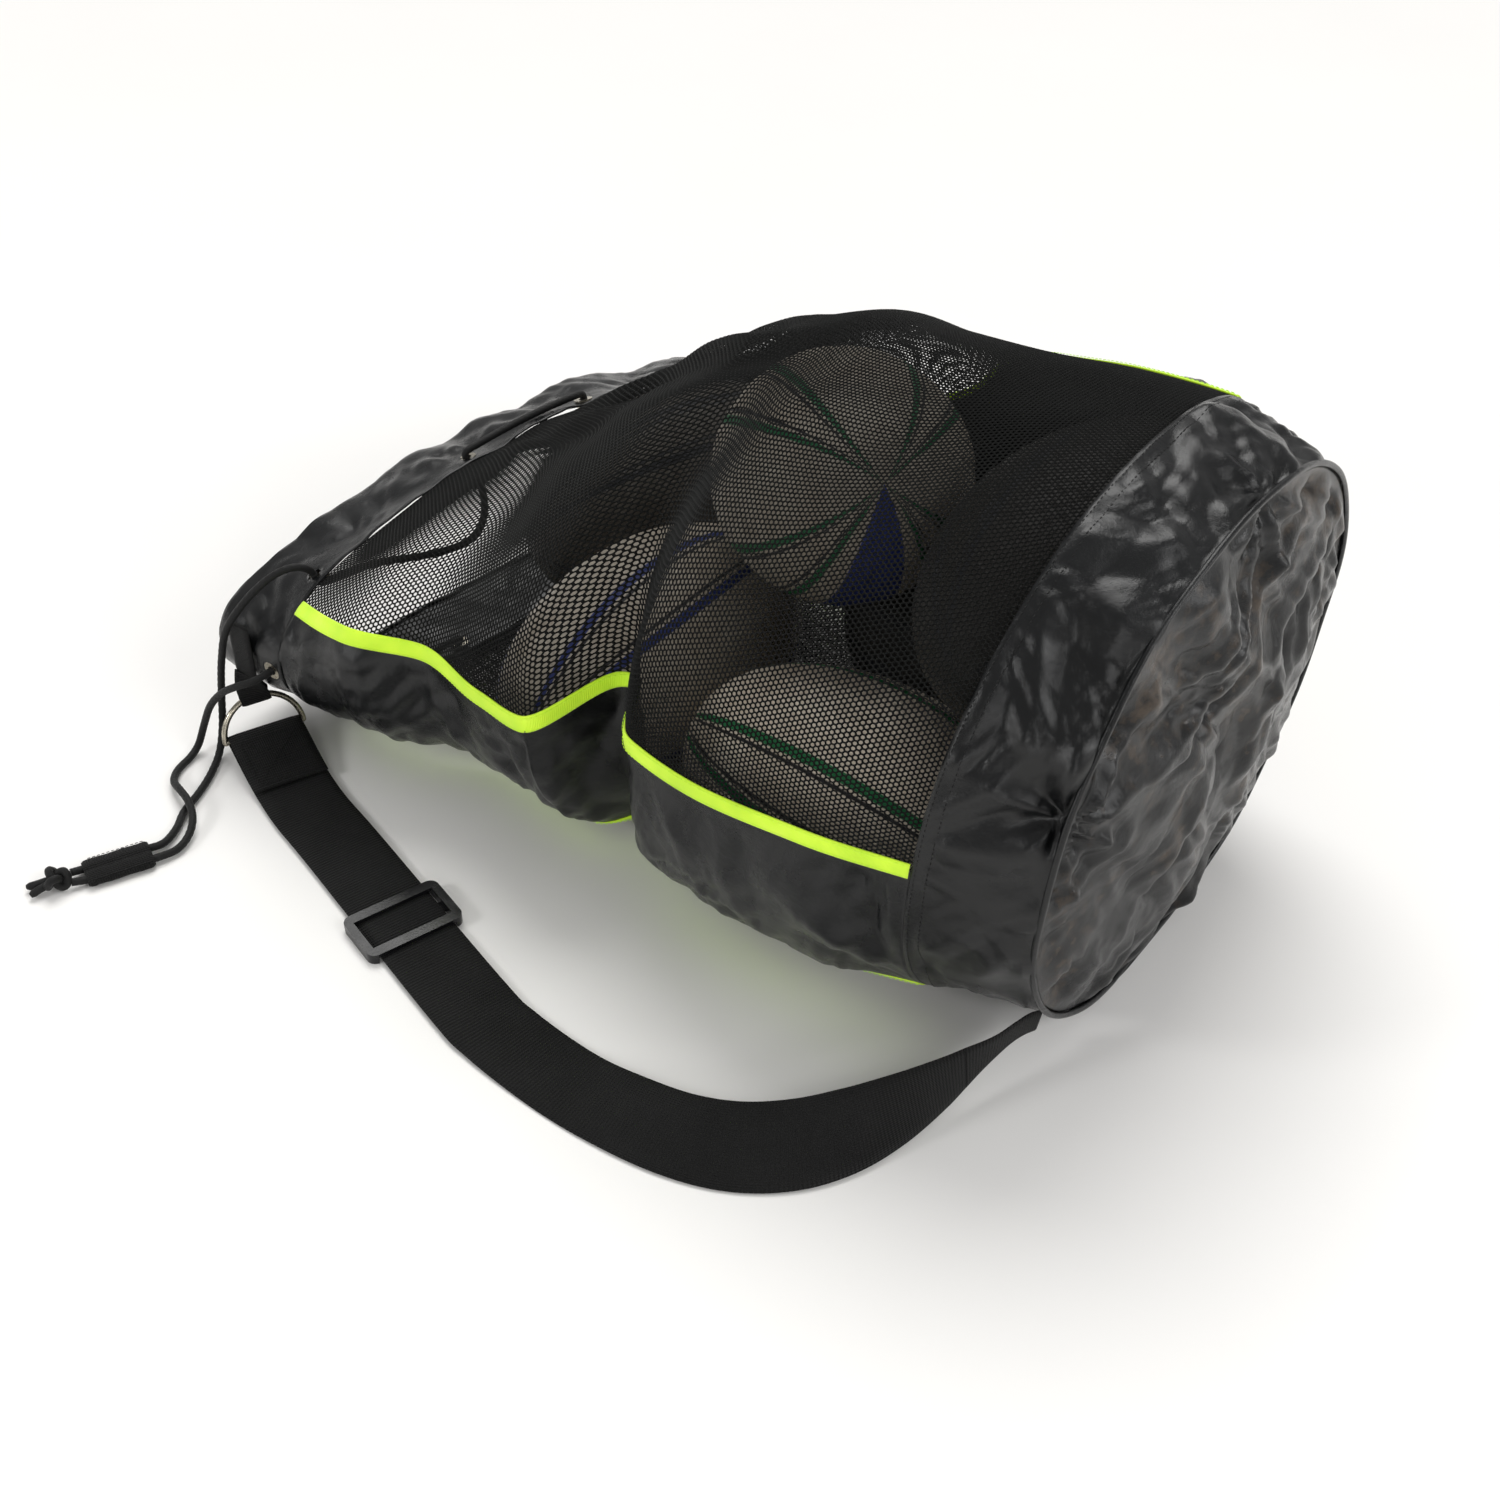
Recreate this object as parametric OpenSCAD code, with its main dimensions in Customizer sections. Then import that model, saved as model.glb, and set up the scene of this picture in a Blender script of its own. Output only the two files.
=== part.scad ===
// Mesh ball bag lying on its side, mouth toward -X, round base toward +X, +Z up.
// Millimetres. The bag carries six junior rugby balls, a drawcord and a shoulder strap.

/* [Fabric] */
// Thickness of the bag's cloth panels as built here
cloth_t = 2; // [1.6:0.1:2.2]
// Width of the bright binding tape over each long seam
tape_w = 11; // [8:1:12]
// Thickness of the binding tape
tape_t = 1.2; // [0.8:0.1:1.4]
// How far the base panel bulges out past its seam
base_bulge = 24; // [15:1:28]

/* [Eyelets and cord] */
// Outside diameter of an eyelet flange
eyelet_od = 13; // [12:0.5:14]
// Bore of an eyelet, which the drawcord runs through
eyelet_bore = 6.6; // [6.4:0.1:7]
// Diameter of the braided drawcord
cord_d = 5; // [4:0.5:5]

/* [Shoulder strap] */
// Width of the shoulder webbing
strap_w = 50; // [40:1:50]
// Thickness of the shoulder webbing
strap_t = 1.6; // [1.2:0.1:1.6]
// Length of the tri-glide slider along the webbing
slider_len = 40; // [36:1:44]
// Wire diameter of the steel D-ring
ring_wire = 4; // [3.5:0.5:4]

/* [Balls] */
// Length of a junior rugby ball
ball_len = 245; // [235:1:245]
// Diameter of a junior rugby ball
ball_d = 155; // [148:1:155]

/* [Hidden] */

// Shift that puts the frame's origin under the middle of the part
shift = [54.6, 35, 0];

black_cloth = [0.08, 0.09, 0.10];
black_mesh = [0.13, 0.14, 0.13];
neon = [0.80, 0.95, 0.20];
nickel = [0.78, 0.76, 0.70];
black_cord = [0.06, 0.06, 0.06];
webbing_black = [0.07, 0.07, 0.07];
plastic = [0.05, 0.05, 0.05];
cream = [0.86, 0.83, 0.74];

// The bag's cross sections from the mouth to the base:
// x, near side y, far side y, height, roundness above, roundness below, lean, yaw, lift,
// then the angles of the four long seams: front strip upper, lower, back strip upper, lower
SECTIONS = [
  [-350, -212, 255, 129, 1.8, 3.0, 0, 0.07, 9, 9, -18, 168, 196],
  [-324, -211.2, 252.1, 137.8, 1.8, 3.0, 0, 0.07, 9, 8.6, -18.8, 168.8, 197.3],
  [-298, -210.3, 249.1, 146.6, 1.8, 3.0, 0, 0.07, 9, 8.2, -19.7, 169.7, 198.5],
  [-288, -210, 248, 150, 1.9, 3.0, 0, 0.07, 9, 8, -20, 170, 199],
  [-235, -207, 240, 187, 2.1, 3.0, 0, 0.05, 5, 7, -24, 173, 205],
  [-185, -182, 228, 222, 2.1, 3.0, 0, 0.03, 0, 4, -31, 176, 210],
  [-130, -194, 208, 268, 2.1, 3.0, 0, 0, 0, -1, -39, 177, 213],
  [-90, -196, 198, 294, 2.1, 3.0, 0, 0, 0, -4, -42, 174, 212],
  [-55, -150, 192, 308, 2.1, 3.0, 0.02, 0, 0, 0, -44, 166, 206],
  [-15, -192, 192, 315, 2.1, 3.0, 0.03, 0, 0, 0, -42, 152, 194],
  [40, -200, 194, 322, 2.1, 3.0, 0.05, -0.016, 0, 0, -41, 138, 180],
  [95, -196, 195, 332, 2.1, 2.8, 0.07, -0.038, 0, 0, -41, 132, 174],
  [150, -183, 190, 337, 2.1, 2.5, 0.09, -0.06, 0, 0, -41, 130, 172],
  [188, -172, 185, 330, 2.1, 2.3, 0.07, -0.06, 0, 0, -41, 130, 172],
  [225, -162, 180, 318, 2.1, 2.1, 0.05, -0.06, 0, 0, -41, 130, 172]];

mouth_x = -350;
collar_x = -288;
band_x = 150;
base_x = 225;

function col(k) = [for (s = SECTIONS) [s[0], s[k]]];
COLS = [for (k = [0:12]) col(k)];
function at(x, k) = lookup(x, COLS[k]);

// Distance from the section's middle to the cloth, in the direction of angle a
function reach(a, hw, hh, n) =
  pow(pow(abs(cos(a)) / hw, n) + pow(abs(sin(a)) / hh, n), -1 / n);

// A point of the bag's skin at station x and angle a, "inside" millimetres in from the outside
function skin(x, a, inside) =
  let (near = at(x, 1), far = at(x, 2), hh = at(x, 3) / 2, hw = (far - near) / 2 - inside,
       r = sin(a) > 0 ? reach(a, hw, hh - inside, at(x, 4))
                      : reach(a, hw, hh + 1 - inside, at(x, 5)),
       y = (near + far) / 2 - r * cos(a),
       z = max(hh + r * sin(a), inside) + at(x, 8))
  [x + at(x, 6) * z + at(x, 7) * y, y, z];

// Angle that lies "mm" of cloth away from seam angle a at station x
function step_angle(x, a, mm) =
  let (d = 0.5, p = skin(x, a - d, 0), q = skin(x, a + d, 0)) a + mm * 2 * d / norm(q - p);

// Outward direction of the skin
function out_dir(x, a) =
  let (p = skin(x, a + 0.5, 0) - skin(x, a - 0.5, 0),
       q = skin(x + 2, a, 0) - skin(x - 2, a, 0), n = cross(q, p)) n / norm(n);

// Stations between x0 and x1: the table's own, plus both ends
function stations(x0, x1) =
  concat([x0], [for (s = SECTIONS) if (s[0] > x0 + 1 && s[0] < x1 - 1) s[0]], [x1]);

// Closed solid between two grids of points, rows x columns, outer grid first
module slab(outer, inner) {
  nr = len(outer);
  nc = len(outer[0]);
  pts = concat([for (r = outer) for (p = r) p], [for (r = inner) for (p = r) p]);
  o = function (r, c) r * nc + c;
  i = function (r, c) nr * nc + r * nc + c;
  faces = concat(
    [for (r = [0:nr - 2]) for (c = [0:nc - 2])
      each [[o(r, c), o(r + 1, c), o(r + 1, c + 1)], [o(r, c), o(r + 1, c + 1), o(r, c + 1)]]],
    [for (r = [0:nr - 2]) for (c = [0:nc - 2])
      each [[i(r, c), i(r + 1, c + 1), i(r + 1, c)], [i(r, c), i(r, c + 1), i(r + 1, c + 1)]]],
    [for (r = [0:nr - 2])
      each [[o(r, 0), i(r, 0), i(r + 1, 0)], [o(r, 0), i(r + 1, 0), o(r + 1, 0)]]],
    [for (r = [0:nr - 2])
      each [[o(r, nc - 1), o(r + 1, nc - 1), i(r + 1, nc - 1)],
            [o(r, nc - 1), i(r + 1, nc - 1), i(r, nc - 1)]]],
    [for (c = [0:nc - 2])
      each [[o(0, c), o(0, c + 1), i(0, c + 1)], [o(0, c), i(0, c + 1), i(0, c)]]],
    [for (c = [0:nc - 2])
      each [[o(nr - 1, c), i(nr - 1, c), i(nr - 1, c + 1)],
            [o(nr - 1, c), i(nr - 1, c + 1), o(nr - 1, c + 1)]]]);
  polyhedron(pts, faces, convexity = 6);
}

// The same, closed on itself round the bag
module hoop(outer, inner) {
  nr = len(outer);
  nc = len(outer[0]);
  pts = concat([for (r = outer) for (p = r) p], [for (r = inner) for (p = r) p]);
  o = function (r, c) r * nc + c % nc;
  i = function (r, c) nr * nc + r * nc + c % nc;
  faces = concat(
    [for (r = [0:nr - 2]) for (c = [0:nc - 1])
      each [[o(r, c), o(r + 1, c), o(r + 1, c + 1)], [o(r, c), o(r + 1, c + 1), o(r, c + 1)]]],
    [for (r = [0:nr - 2]) for (c = [0:nc - 1])
      each [[i(r, c), i(r + 1, c + 1), i(r + 1, c)], [i(r, c), i(r, c + 1), i(r + 1, c + 1)]]],
    [for (c = [0:nc - 1])
      each [[o(0, c), o(0, c + 1), i(0, c + 1)], [o(0, c), i(0, c + 1), i(0, c)]]],
    [for (c = [0:nc - 1])
      each [[o(nr - 1, c), i(nr - 1, c), i(nr - 1, c + 1)],
            [o(nr - 1, c), i(nr - 1, c + 1), o(nr - 1, c + 1)]]]);
  polyhedron(pts, faces, convexity = 6);
}

// Cloth panel between two long seams k0 and k1 (columns of SECTIONS), n strips wide
module panel(x0, x1, k0, k1, turn, n) {
  xs = stations(x0, x1);
  grid = function (inside) [for (x = xs) [for (j = [0:n])
    skin(x, at(x, k0) + (at(x, k1) + turn - at(x, k0)) * j / n, inside)]];
  slab(grid(0), grid(cloth_t));
}

// Panel all round the bag
RING_N = 48;
module ring_panel(x0, x1, in0, in1, n = RING_N) {
  xs = stations(x0, x1);
  grid = function (inside) [for (x = xs) [for (j = [0:n - 1])
    skin(x, -180 + 360 * (j + 0.5) / n, inside)]];
  hoop(grid(in0), grid(in1));
}

// Binding tape folded over a long seam
module tape(k) {
  xs = stations(collar_x + 1, band_x - 1);
  grid = function (inside) [for (x = xs)
    [for (s = [-0.5, 0, 0.5]) skin(x, step_angle(x, at(x, k), s * tape_w), inside)]];
  slab(grid(-0.9 - tape_t), grid(-0.9));
}

// Tube along smooth points, sides round it
function smooth(p, i, t) =
  let (n = len(p), a = p[max(i - 1, 0)], b = p[i], c = p[i + 1], d = p[min(i + 2, n - 1)])
  0.5 * (2 * b + (c - a) * t + (2 * a - 5 * b + 4 * c - d) * t * t
    + (3 * b - a - 3 * c + d) * t * t * t);
function path(p, m) =
  concat([for (i = [0:len(p) - 2]) for (j = [0:m - 1]) smooth(p, i, j / m)], [p[len(p) - 1]]);
function unit(v) = v / norm(v);
function tangent(q, i) = unit(q[min(i + 1, len(q) - 1)] - q[max(i - 1, 0)]);
function carried(q, i) =
  i == 0 ? let (t = tangent(q, 0), g = abs(t[2]) < 0.9 ? [0, 0, 1] : [1, 0, 0]) unit(cross(t, g))
         : let (v = carried(q, i - 1), t = tangent(q, i)) unit(v - t * (v * t));

module tube(p, d, m, sides) {
  q = path(p, m);
  rings = [for (i = [0:len(q) - 1])
    let (t = tangent(q, i), a = carried(q, i), b = cross(t, a))
    [for (j = [0:sides - 1])
      q[i] + d / 2 * (a * cos(360 * j / sides) + b * sin(360 * j / sides))]];
  n = len(rings);
  faces = concat([[for (j = [0:sides - 1]) sides - 1 - j]],
    [for (i = [0:n - 2]) for (j = [0:sides - 1])
      each [[i * sides + j, i * sides + (j + 1) % sides, (i + 1) * sides + (j + 1) % sides],
            [i * sides + j, (i + 1) * sides + (j + 1) % sides, (i + 1) * sides + j]]],
    [[for (j = [0:sides - 1]) (n - 1) * sides + j]]);
  polyhedron([for (r = rings) for (v = r) v], [for (f = faces) [for (k = [len(f) - 1:-1:0]) f[k]]],
    convexity = 8);
}

// Flat webbing through rows of x, y, z, heading, pitch, bank, half width
function row_u(r) = [cos(r[3]), sin(r[3]), 0];
function row_tan(r) = cos(r[4]) * row_u(r) + [0, 0, sin(r[4])];
function row_w(r) = cos(r[5]) * [-sin(r[3]), cos(r[3]), 0] + [0, 0, sin(r[5])];
function row_n(r) = unit(cross(row_tan(r), row_w(r)));
module ribbon(rows, thick) {
  corner = function (r, a, b) [r[0], r[1], r[2]] + a * r[6] * row_w(r) + b * thick / 2 * row_n(r);
  slab([for (r = rows) [corner(r, -1, 1), corner(r, 0, 1), corner(r, 1, 1)]],
       [for (r = rows) [corner(r, -1, -1), corner(r, 0, -1), corner(r, 1, -1)]]);
}

// Turns +Z onto a direction
module aim(p, n) {
  translate(p) rotate([0, acos(n[2]), atan2(n[1], n[0])]) children();
}

// Eyelets: angle round the collar
EYELET_X = -298;
EYELETS = [12, 51, 125, 167, 199, 242, 318, 357];
function eye_p(i) = (skin(EYELET_X, EYELETS[i], 0) + skin(EYELET_X, EYELETS[i], cloth_t)) / 2;
function eye_n(i) = out_dir(EYELET_X, EYELETS[i]);

// Shoulder strap rows, from the sewn end back over the ring bar and out to the base
BAR = [-330, -214, 12];
BAR_TURN = -20.7;
half = strap_w / 2;
STRAP = [
  [-281, -232.5, 7.2, -20.7, 187, 0, half],
  [-296, -226.8, 9.2, -20.7, 191, 0, half],
  [-312, -220.8, 13.0, -20.7, 192, 0, half],
  [-322, -217.0, 14.9, -20.7, 187, 0, half],
  [-330, -214.0, 15.2, -20.7, 180, 0, half],
  [-332.1, -213.2, 14.3, -20.7, 225, 0, half],
  [-333.0, -212.9, 12.0, -20.7, 270, 0, half],
  [-332.1, -213.2, 9.7, -20.7, 315, 0, half],
  [-330, -214.0, 8.8, -20.7, 360, 0, half],
  [-318, -218.6, 7.4, -20.7, 352, 0, half],
  [-300, -225.4, 5.2, -20.7, 354, 0, half],
  [-276, -234.0, 3.4, -19, 357, 0, half],
  [-250, -242.0, 3.1, -16, 360, 0, half],
  [-204, -253.2, 3.1, -14.5, 360, 0, half],
  [-58, -290.9, 3.1, -14.5, 360, 0, half],
  [-20, -297.5, 2.4, -6, 359, 0, half],
  [30, -299.0, 2.0, 0, 360, 2, half],
  [70, -296.5, 5.0, 6, 363, 8, half],
  [108, -290.0, 8.2, 14, 364, 15, half],
  [140, -278.5, 12.4, 26, 366, 26, half * 0.99],
  [166, -260.0, 17.0, 42, 368, 38, half * 0.97],
  [184, -236.0, 20.2, 57, 365, 50, half * 0.92],
  [196, -208.0, 21.6, 68, 364, 62, half * 0.82],
  [204, -180.0, 22.6, 74, 366, 74, half * 0.68],
  [210, -156.0, 25.6, 77, 370, 86, half * 0.55],
  [213.4, -143.0, 27.8, 78, 371, 94, half * 0.46],
  [215, -134.0, 29.6, 78, 371, 98, 2]];
RING_R = 27;
SLIDER_AT = [-131, -272.05, 0];
SLIDER_TURN = -14.5;
ANCHOR = [
  [215.8, -130.0, 30.4, 78, 374, 98, 2],
  [217.8, -120.5, 30.2, 78, 354, 99, half * 0.42],
  [219.0, -111.5, 24.8, 78, 338, 100, half * 0.38]];

// Cord routes
LONG_TAIL = [[-310.5, -168, 124.6], [-311.4, -170, 128.6], [-315, -178, 133], [-322, -190, 130],
  [-331, -206, 117], [-341, -220, 95], [-347, -224.5, 70], [-351, -227, 44], [-350, -232, 20],
  [-344, -242, 5.4], [-333, -258, 2.9], [-323, -276, 2.9], [-315, -295, 2.9], [-305.5, -308, 3.2], [-299.9, -322, 3.7],
  [-303.1, -330.9, 3.8], [-307, -340.5, 3.8], [-315, -360, 3.8], [-319.1, -369.8, 3.8],
  [-321, -377, 5]];
SHORT_TAIL = [[-312.5, -212, 70.1], [-312.8, -217, 69.7], [-315, -226, 68.5], [-324, -233, 64],
  [-337, -236, 54], [-349, -239, 39], [-357, -242, 20], [-359, -248, 6], [-356, -258, 2.9],
  [-352, -271, 3.0], [-343, -281, 4.6], [-329, -286, 8.4], [-315, -290, 9.2], [-302, -297, 6.6],
  [-293, -308, 4.2], [-288.6, -321, 3.8], [-292.9, -335.1, 3.8], [-297, -345, 3.8],
  [-305, -364.5, 3.8], [-309, -374, 3.8], [-313.5, -382, 5]];
TAB_AT = [-306, -352.4, 3.8];
TAB_TURN = -112.3;
KNOT_AT = [-320, -387.5, 8.4];
KNOT_D = 16;

module base_panel() color(black_cloth) translate(shift) {
  rings = 6;
  edge = [for (j = [0:RING_N - 1])
    skin(base_x - 3, -180 + 360 * (j + 0.5) / RING_N, cloth_t + 0.4)];
  mid = [base_x - 3 + 0.05 * 159, 4, 159];
  at_ring = function (k, back) [for (p = edge)
    let (f = (rings - k) / rings) [mid[0] + (p[0] - mid[0]) * f + base_bulge * (1 - f * f) - back,
      mid[1] + (p[1] - mid[1]) * f, mid[2] + (p[2] - mid[2]) * f]];
  tip = mid + [base_bulge, 0, 0];
  pts = concat([for (k = [0:rings - 1]) each at_ring(k, 0)], [tip],
               [for (k = [0:rings - 1]) each at_ring(k, cloth_t)], [tip - [cloth_t, 0, 0]]);
  o = function (k, j) k * RING_N + j % RING_N;
  top = rings * RING_N;
  i = function (k, j) top + 1 + k * RING_N + j % RING_N;
  low = 2 * top + 1;
  faces = concat(
    [for (k = [0:rings - 2]) for (j = [0:RING_N - 1])
      each [[o(k, j), o(k + 1, j), o(k + 1, j + 1)], [o(k, j), o(k + 1, j + 1), o(k, j + 1)]]],
    [for (j = [0:RING_N - 1]) [o(rings - 1, j), top, o(rings - 1, j + 1)]],
    [for (k = [0:rings - 2]) for (j = [0:RING_N - 1])
      each [[i(k, j), i(k + 1, j + 1), i(k + 1, j)], [i(k, j), i(k, j + 1), i(k + 1, j + 1)]]],
    [for (j = [0:RING_N - 1]) [i(rings - 1, j), i(rings - 1, j + 1), low]],
    [for (j = [0:RING_N - 1]) each [[o(0, j), o(0, j + 1), i(0, j + 1)],
                                    [o(0, j), i(0, j + 1), i(0, j)]]]);
  polyhedron(pts, faces, convexity = 6);
}

module base_band() color(black_cloth) translate(shift)
  ring_panel(band_x, base_x, 0, cloth_t);

module base_seam_binding() color(webbing_black) translate(shift)
  ring_panel(base_x - 16, base_x - 7, cloth_t + 0.6, cloth_t + 1.6);

module front_strip() color(black_cloth) translate(shift)
  panel(collar_x, band_x, 10, 9, 0, 8);
module top_mesh() color(black_mesh) translate(shift)
  panel(collar_x, band_x, 9, 11, 0, 20);
module back_strip() color(black_cloth) translate(shift)
  panel(collar_x, band_x, 11, 12, 0, 8);
module under_mesh() color(black_mesh) translate(shift)
  panel(collar_x, band_x, 12, 10, 360, 18);

module front_upper_binding() color(neon) translate(shift) tape(9);
module front_lower_binding() color(neon) translate(shift) tape(10);
module back_upper_binding() color(neon) translate(shift) tape(11);
module back_lower_binding() color(neon) translate(shift) tape(12);

module collar() color(black_cloth) translate(shift)
  difference() {
    ring_panel(mouth_x, collar_x, 0, cloth_t, 144);
    for (i = [0:len(EYELETS) - 1])
      aim(eye_p(i), eye_n(i)) cylinder(d = eyelet_bore + 1.6, h = 12, center = true, $fn = 48);
  }

module collar_hem() color(black_cloth) translate(shift)
  ring_panel(mouth_x + 1, mouth_x + 26, cloth_t + 0.6, cloth_t + 1.8, 144);

module eyelets() color(nickel) translate(shift)
  for (i = [0:len(EYELETS) - 1])
    aim(eye_p(i), eye_n(i)) difference() {
      union() {
        translate([0, 0, cloth_t / 2 + 0.5]) cylinder(d = eyelet_od, h = 0.8, $fn = 48);
        translate([0, 0, -cloth_t / 2 - 1.6])
          cylinder(d = eyelet_bore + 0.8, h = cloth_t + 2.6, $fn = 48);
      }
      cylinder(d = eyelet_bore, h = 12, center = true, $fn = 48);
    }

module eyelet_washers() color(nickel) translate(shift)
  for (i = [0:len(EYELETS) - 1])
    aim(eye_p(i), eye_n(i)) translate([0, 0, -cloth_t / 2 - 1.55]) difference() {
      cylinder(d = eyelet_od - 0.5, h = 0.8, $fn = 48);
      translate([0, 0, -1]) cylinder(d = eyelet_bore + 1, h = 3, $fn = 48);
    }

// The cord goes in and out of the collar, so each span runs on one side of the cloth;
// "side" is 1 outside and -1 inside, "sag" carries the middle of the span off the cloth
function span(i, side, off, sag) =
  let (a = EYELETS[i], b = EYELETS[i + 1])
  concat([eye_p(i) + eye_n(i) * side * 5.4],
    [for (f = [0.12, 0.3, 0.5, 0.7, 0.88])
      skin(EYELET_X, a + (b - a) * f, side > 0 ? -off : off + cloth_t) + sag * sin(180 * f)],
    [eye_p(i + 1) + eye_n(i + 1) * side * 5.4]);
function eye(i) = [eye_p(i)];
// Under the bag the cord lies on the floor
function under(i) =
  let (p = eye_p(i), q = eye_p(i + 1), x = (p[0] + q[0]) / 2, y = (p[1] + q[1]) / 2)
  [[p[0], p[1], 6.2], [p[0], p[1] - 2.2, 4.2], [p[0] - 0.5, p[1] - 8, 3.1],
   [p[0] - 2, p[1] - 40, 2.9], [x, y, 2.8], [q[0] + 2, q[1] + 40, 2.9],
   [q[0] + 0.5, q[1] + 8, 3.1], [q[0], q[1] + 2.2, 4.2], [q[0], q[1], 6.2]];
DRAW = concat(
  [eye_p(0) + eye_n(0) * 3.0], eye(0), span(0, -1, 7, [34, 4, -22]),
  eye(1), span(1, 1, 6.2, [0, 0, 0]), eye(2), span(2, -1, 6, [4, 0, 0]),
  eye(3), span(3, 1, 6.2, [0, 0, 0]), eye(4), span(4, -1, 6, [4, 0, 0]),
  eye(5), under(5), eye(6), span(6, -1, 6, [4, 0, 0]),
  eye(7), [eye_p(7) + eye_n(7) * 3.0]);
module drawcord() color(black_cord) translate(shift) tube(DRAW, cord_d, 1, 8);

module cord_tail_long() color(black_cord) translate(shift) tube(LONG_TAIL, cord_d, 3, 10);
module cord_tail_short() color(black_cord) translate(shift) tube(SHORT_TAIL, cord_d, 3, 10);

module cord_tab() color(webbing_black) translate(shift)
  translate(TAB_AT) rotate([0, 0, TAB_TURN]) difference() {
    union() {
      cube([42, 17, 7.4], center = true);
      for (s = [-1, 1]) translate([0, s * 8.5, 0]) rotate([0, 90, 0])
        cylinder(d = 7.4, h = 42, center = true, $fn = 48);
    }
    for (s = [-1, 1]) translate([0, s * 5.5, 0]) rotate([0, 90, 0])
      cylinder(d = cord_d + 0.8, h = 60, center = true, $fn = 48);
  }

module cord_knot() color(black_cord) translate(shift) {
  translate(KNOT_AT) sphere(d = KNOT_D, $fn = 32);
  for (e = [[-332.5, -401.5, 3.2], [-324.5, -404.5, 3.2]])
    tube([KNOT_AT + 0.75 * KNOT_D / 2 * unit(e - KNOT_AT), 0.4 * KNOT_AT + 0.6 * e, e],
         cord_d, 2, 10);
}

// Tab that holds the D-ring: a patch sewn to the collar and a loop hanging from it
TAB_X = -336.5;
TAB_Y = -214.6;
function tab_row(z, turn, o, pitch) =
  [TAB_X + o * cos(turn), TAB_Y + max(0, 58 - z) * 0.12 + o * sin(turn), z, turn, pitch, 0, 10];
TAB_ROWS = [tab_row(58, -84, -0.9, -90), tab_row(50, -60, -1.4, -90), tab_row(43, -34, -2.6, -90),
  tab_row(36.4, -20.7, -3.2, -90), tab_row(33.8, -20.7, -2.3, -45), tab_row(32.9, -20.7, 0, 0),
  tab_row(33.8, -20.7, 2.3, 45), tab_row(36.4, -20.7, 3.2, 90), tab_row(43, -34, 2.6, 90),
  tab_row(50, -60, 1.4, 90), tab_row(58, -84, 0.9, 90)];
module ring_tab() color(webbing_black) translate(shift) ribbon(TAB_ROWS, 1.4);
module ring_tab_patch() color(webbing_black) translate(shift)
  ribbon([for (z = [98, 86, 74, 62]) [TAB_X, TAB_Y, z, -88, -90, 0, 10]], 2.8);

module strap_ring() color(nickel) translate(shift) translate(BAR) rotate([0, 0, BAR_TURN])
  rotate([0, -14.6, 0]) {
    rotate([90, 0, 0]) cylinder(d = ring_wire, h = 2 * RING_R, center = true, $fn = 32);
    rotate([0, 90, 0]) rotate([0, 0, 90]) rotate_extrude(angle = 180, $fn = 64)
      translate([RING_R, 0]) circle(d = ring_wire, $fn = 32);
    for (s = [-1, 1]) translate([0, s * RING_R, 0]) sphere(d = ring_wire, $fn = 32);
  }

module strap_webbing() color(webbing_black) translate(shift) ribbon(STRAP, strap_t);

module strap_slider() color(plastic) translate(shift)
  translate(SLIDER_AT) rotate([0, 0, SLIDER_TURN]) difference() {
    union() {
      translate([-slider_len / 2 + 6, -32, 0.2]) cube([slider_len - 12, 64, 7]);
      translate([-slider_len / 2, -26, 0.2]) cube([slider_len, 52, 7]);
      for (a = [-1, 1]) for (b = [-1, 1])
        translate([a * (slider_len / 2 - 6), b * 26, 0.2]) cylinder(r = 6, h = 7, $fn = 48);
    }
    translate([-slider_len, -26.6, 1.8]) cube([2 * slider_len, 53.2, 2.7]);
    translate([-slider_len / 2 + 7, -26.6, 1.8]) cube([slider_len - 14, 53.2, 8]);
    for (s = [-1, 1]) translate([s * (slider_len / 2 + 4) - slider_len / 2, -26.6, -1])
      cube([slider_len, 53.2, 4]);
  }

module strap_anchor() color(webbing_black) translate(shift) ribbon(ANCHOR, strap_t + 1.2);

module ball(c, axis) translate(shift) aim(c, unit(axis)) {
  h = ball_len / 2;
  r = ball_d / 2;
  steps = 24;
  rotate_extrude($fn = 64) polygon(concat([[0, -h]],
    [for (i = [1:steps - 1]) let (t = -90 + 180 * i / steps) [r * cos(t), h * sin(t)]], [[0, h]]));
}
module ball_front() color(cream) ball([81, -91, 91], [1, 0.05, -0.07]);
module ball_middle() color(cream) ball([-118, -57, 83.5], [-0.02, 1, 0.03]);
module ball_top() color(cream) ball([-31, 21, 220], [0.60, -0.50, 0.45]);
module ball_mouth() color(cream) ball([-228, 100, 85.8], [0.34, 1, 0]);
module ball_rear() color(cream) ball([60, 86, 88], [1, -0.05, 0]);
module ball_base() color(cream) ball([152, 5, 240], [0, 1, 0]);

base_panel();
base_band();
front_strip();
back_strip();
top_mesh();
under_mesh();
collar();
collar_hem();
base_seam_binding();
front_upper_binding();
front_lower_binding();
back_upper_binding();
back_lower_binding();
eyelets();
eyelet_washers();
drawcord();
cord_tail_long();
cord_tail_short();
cord_tab();
cord_knot();
ring_tab();
ring_tab_patch();
strap_ring();
strap_webbing();
strap_slider();
strap_anchor();
ball_front();
ball_middle();
ball_top();
ball_mouth();
ball_rear();
ball_base();
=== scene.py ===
import math

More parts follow.
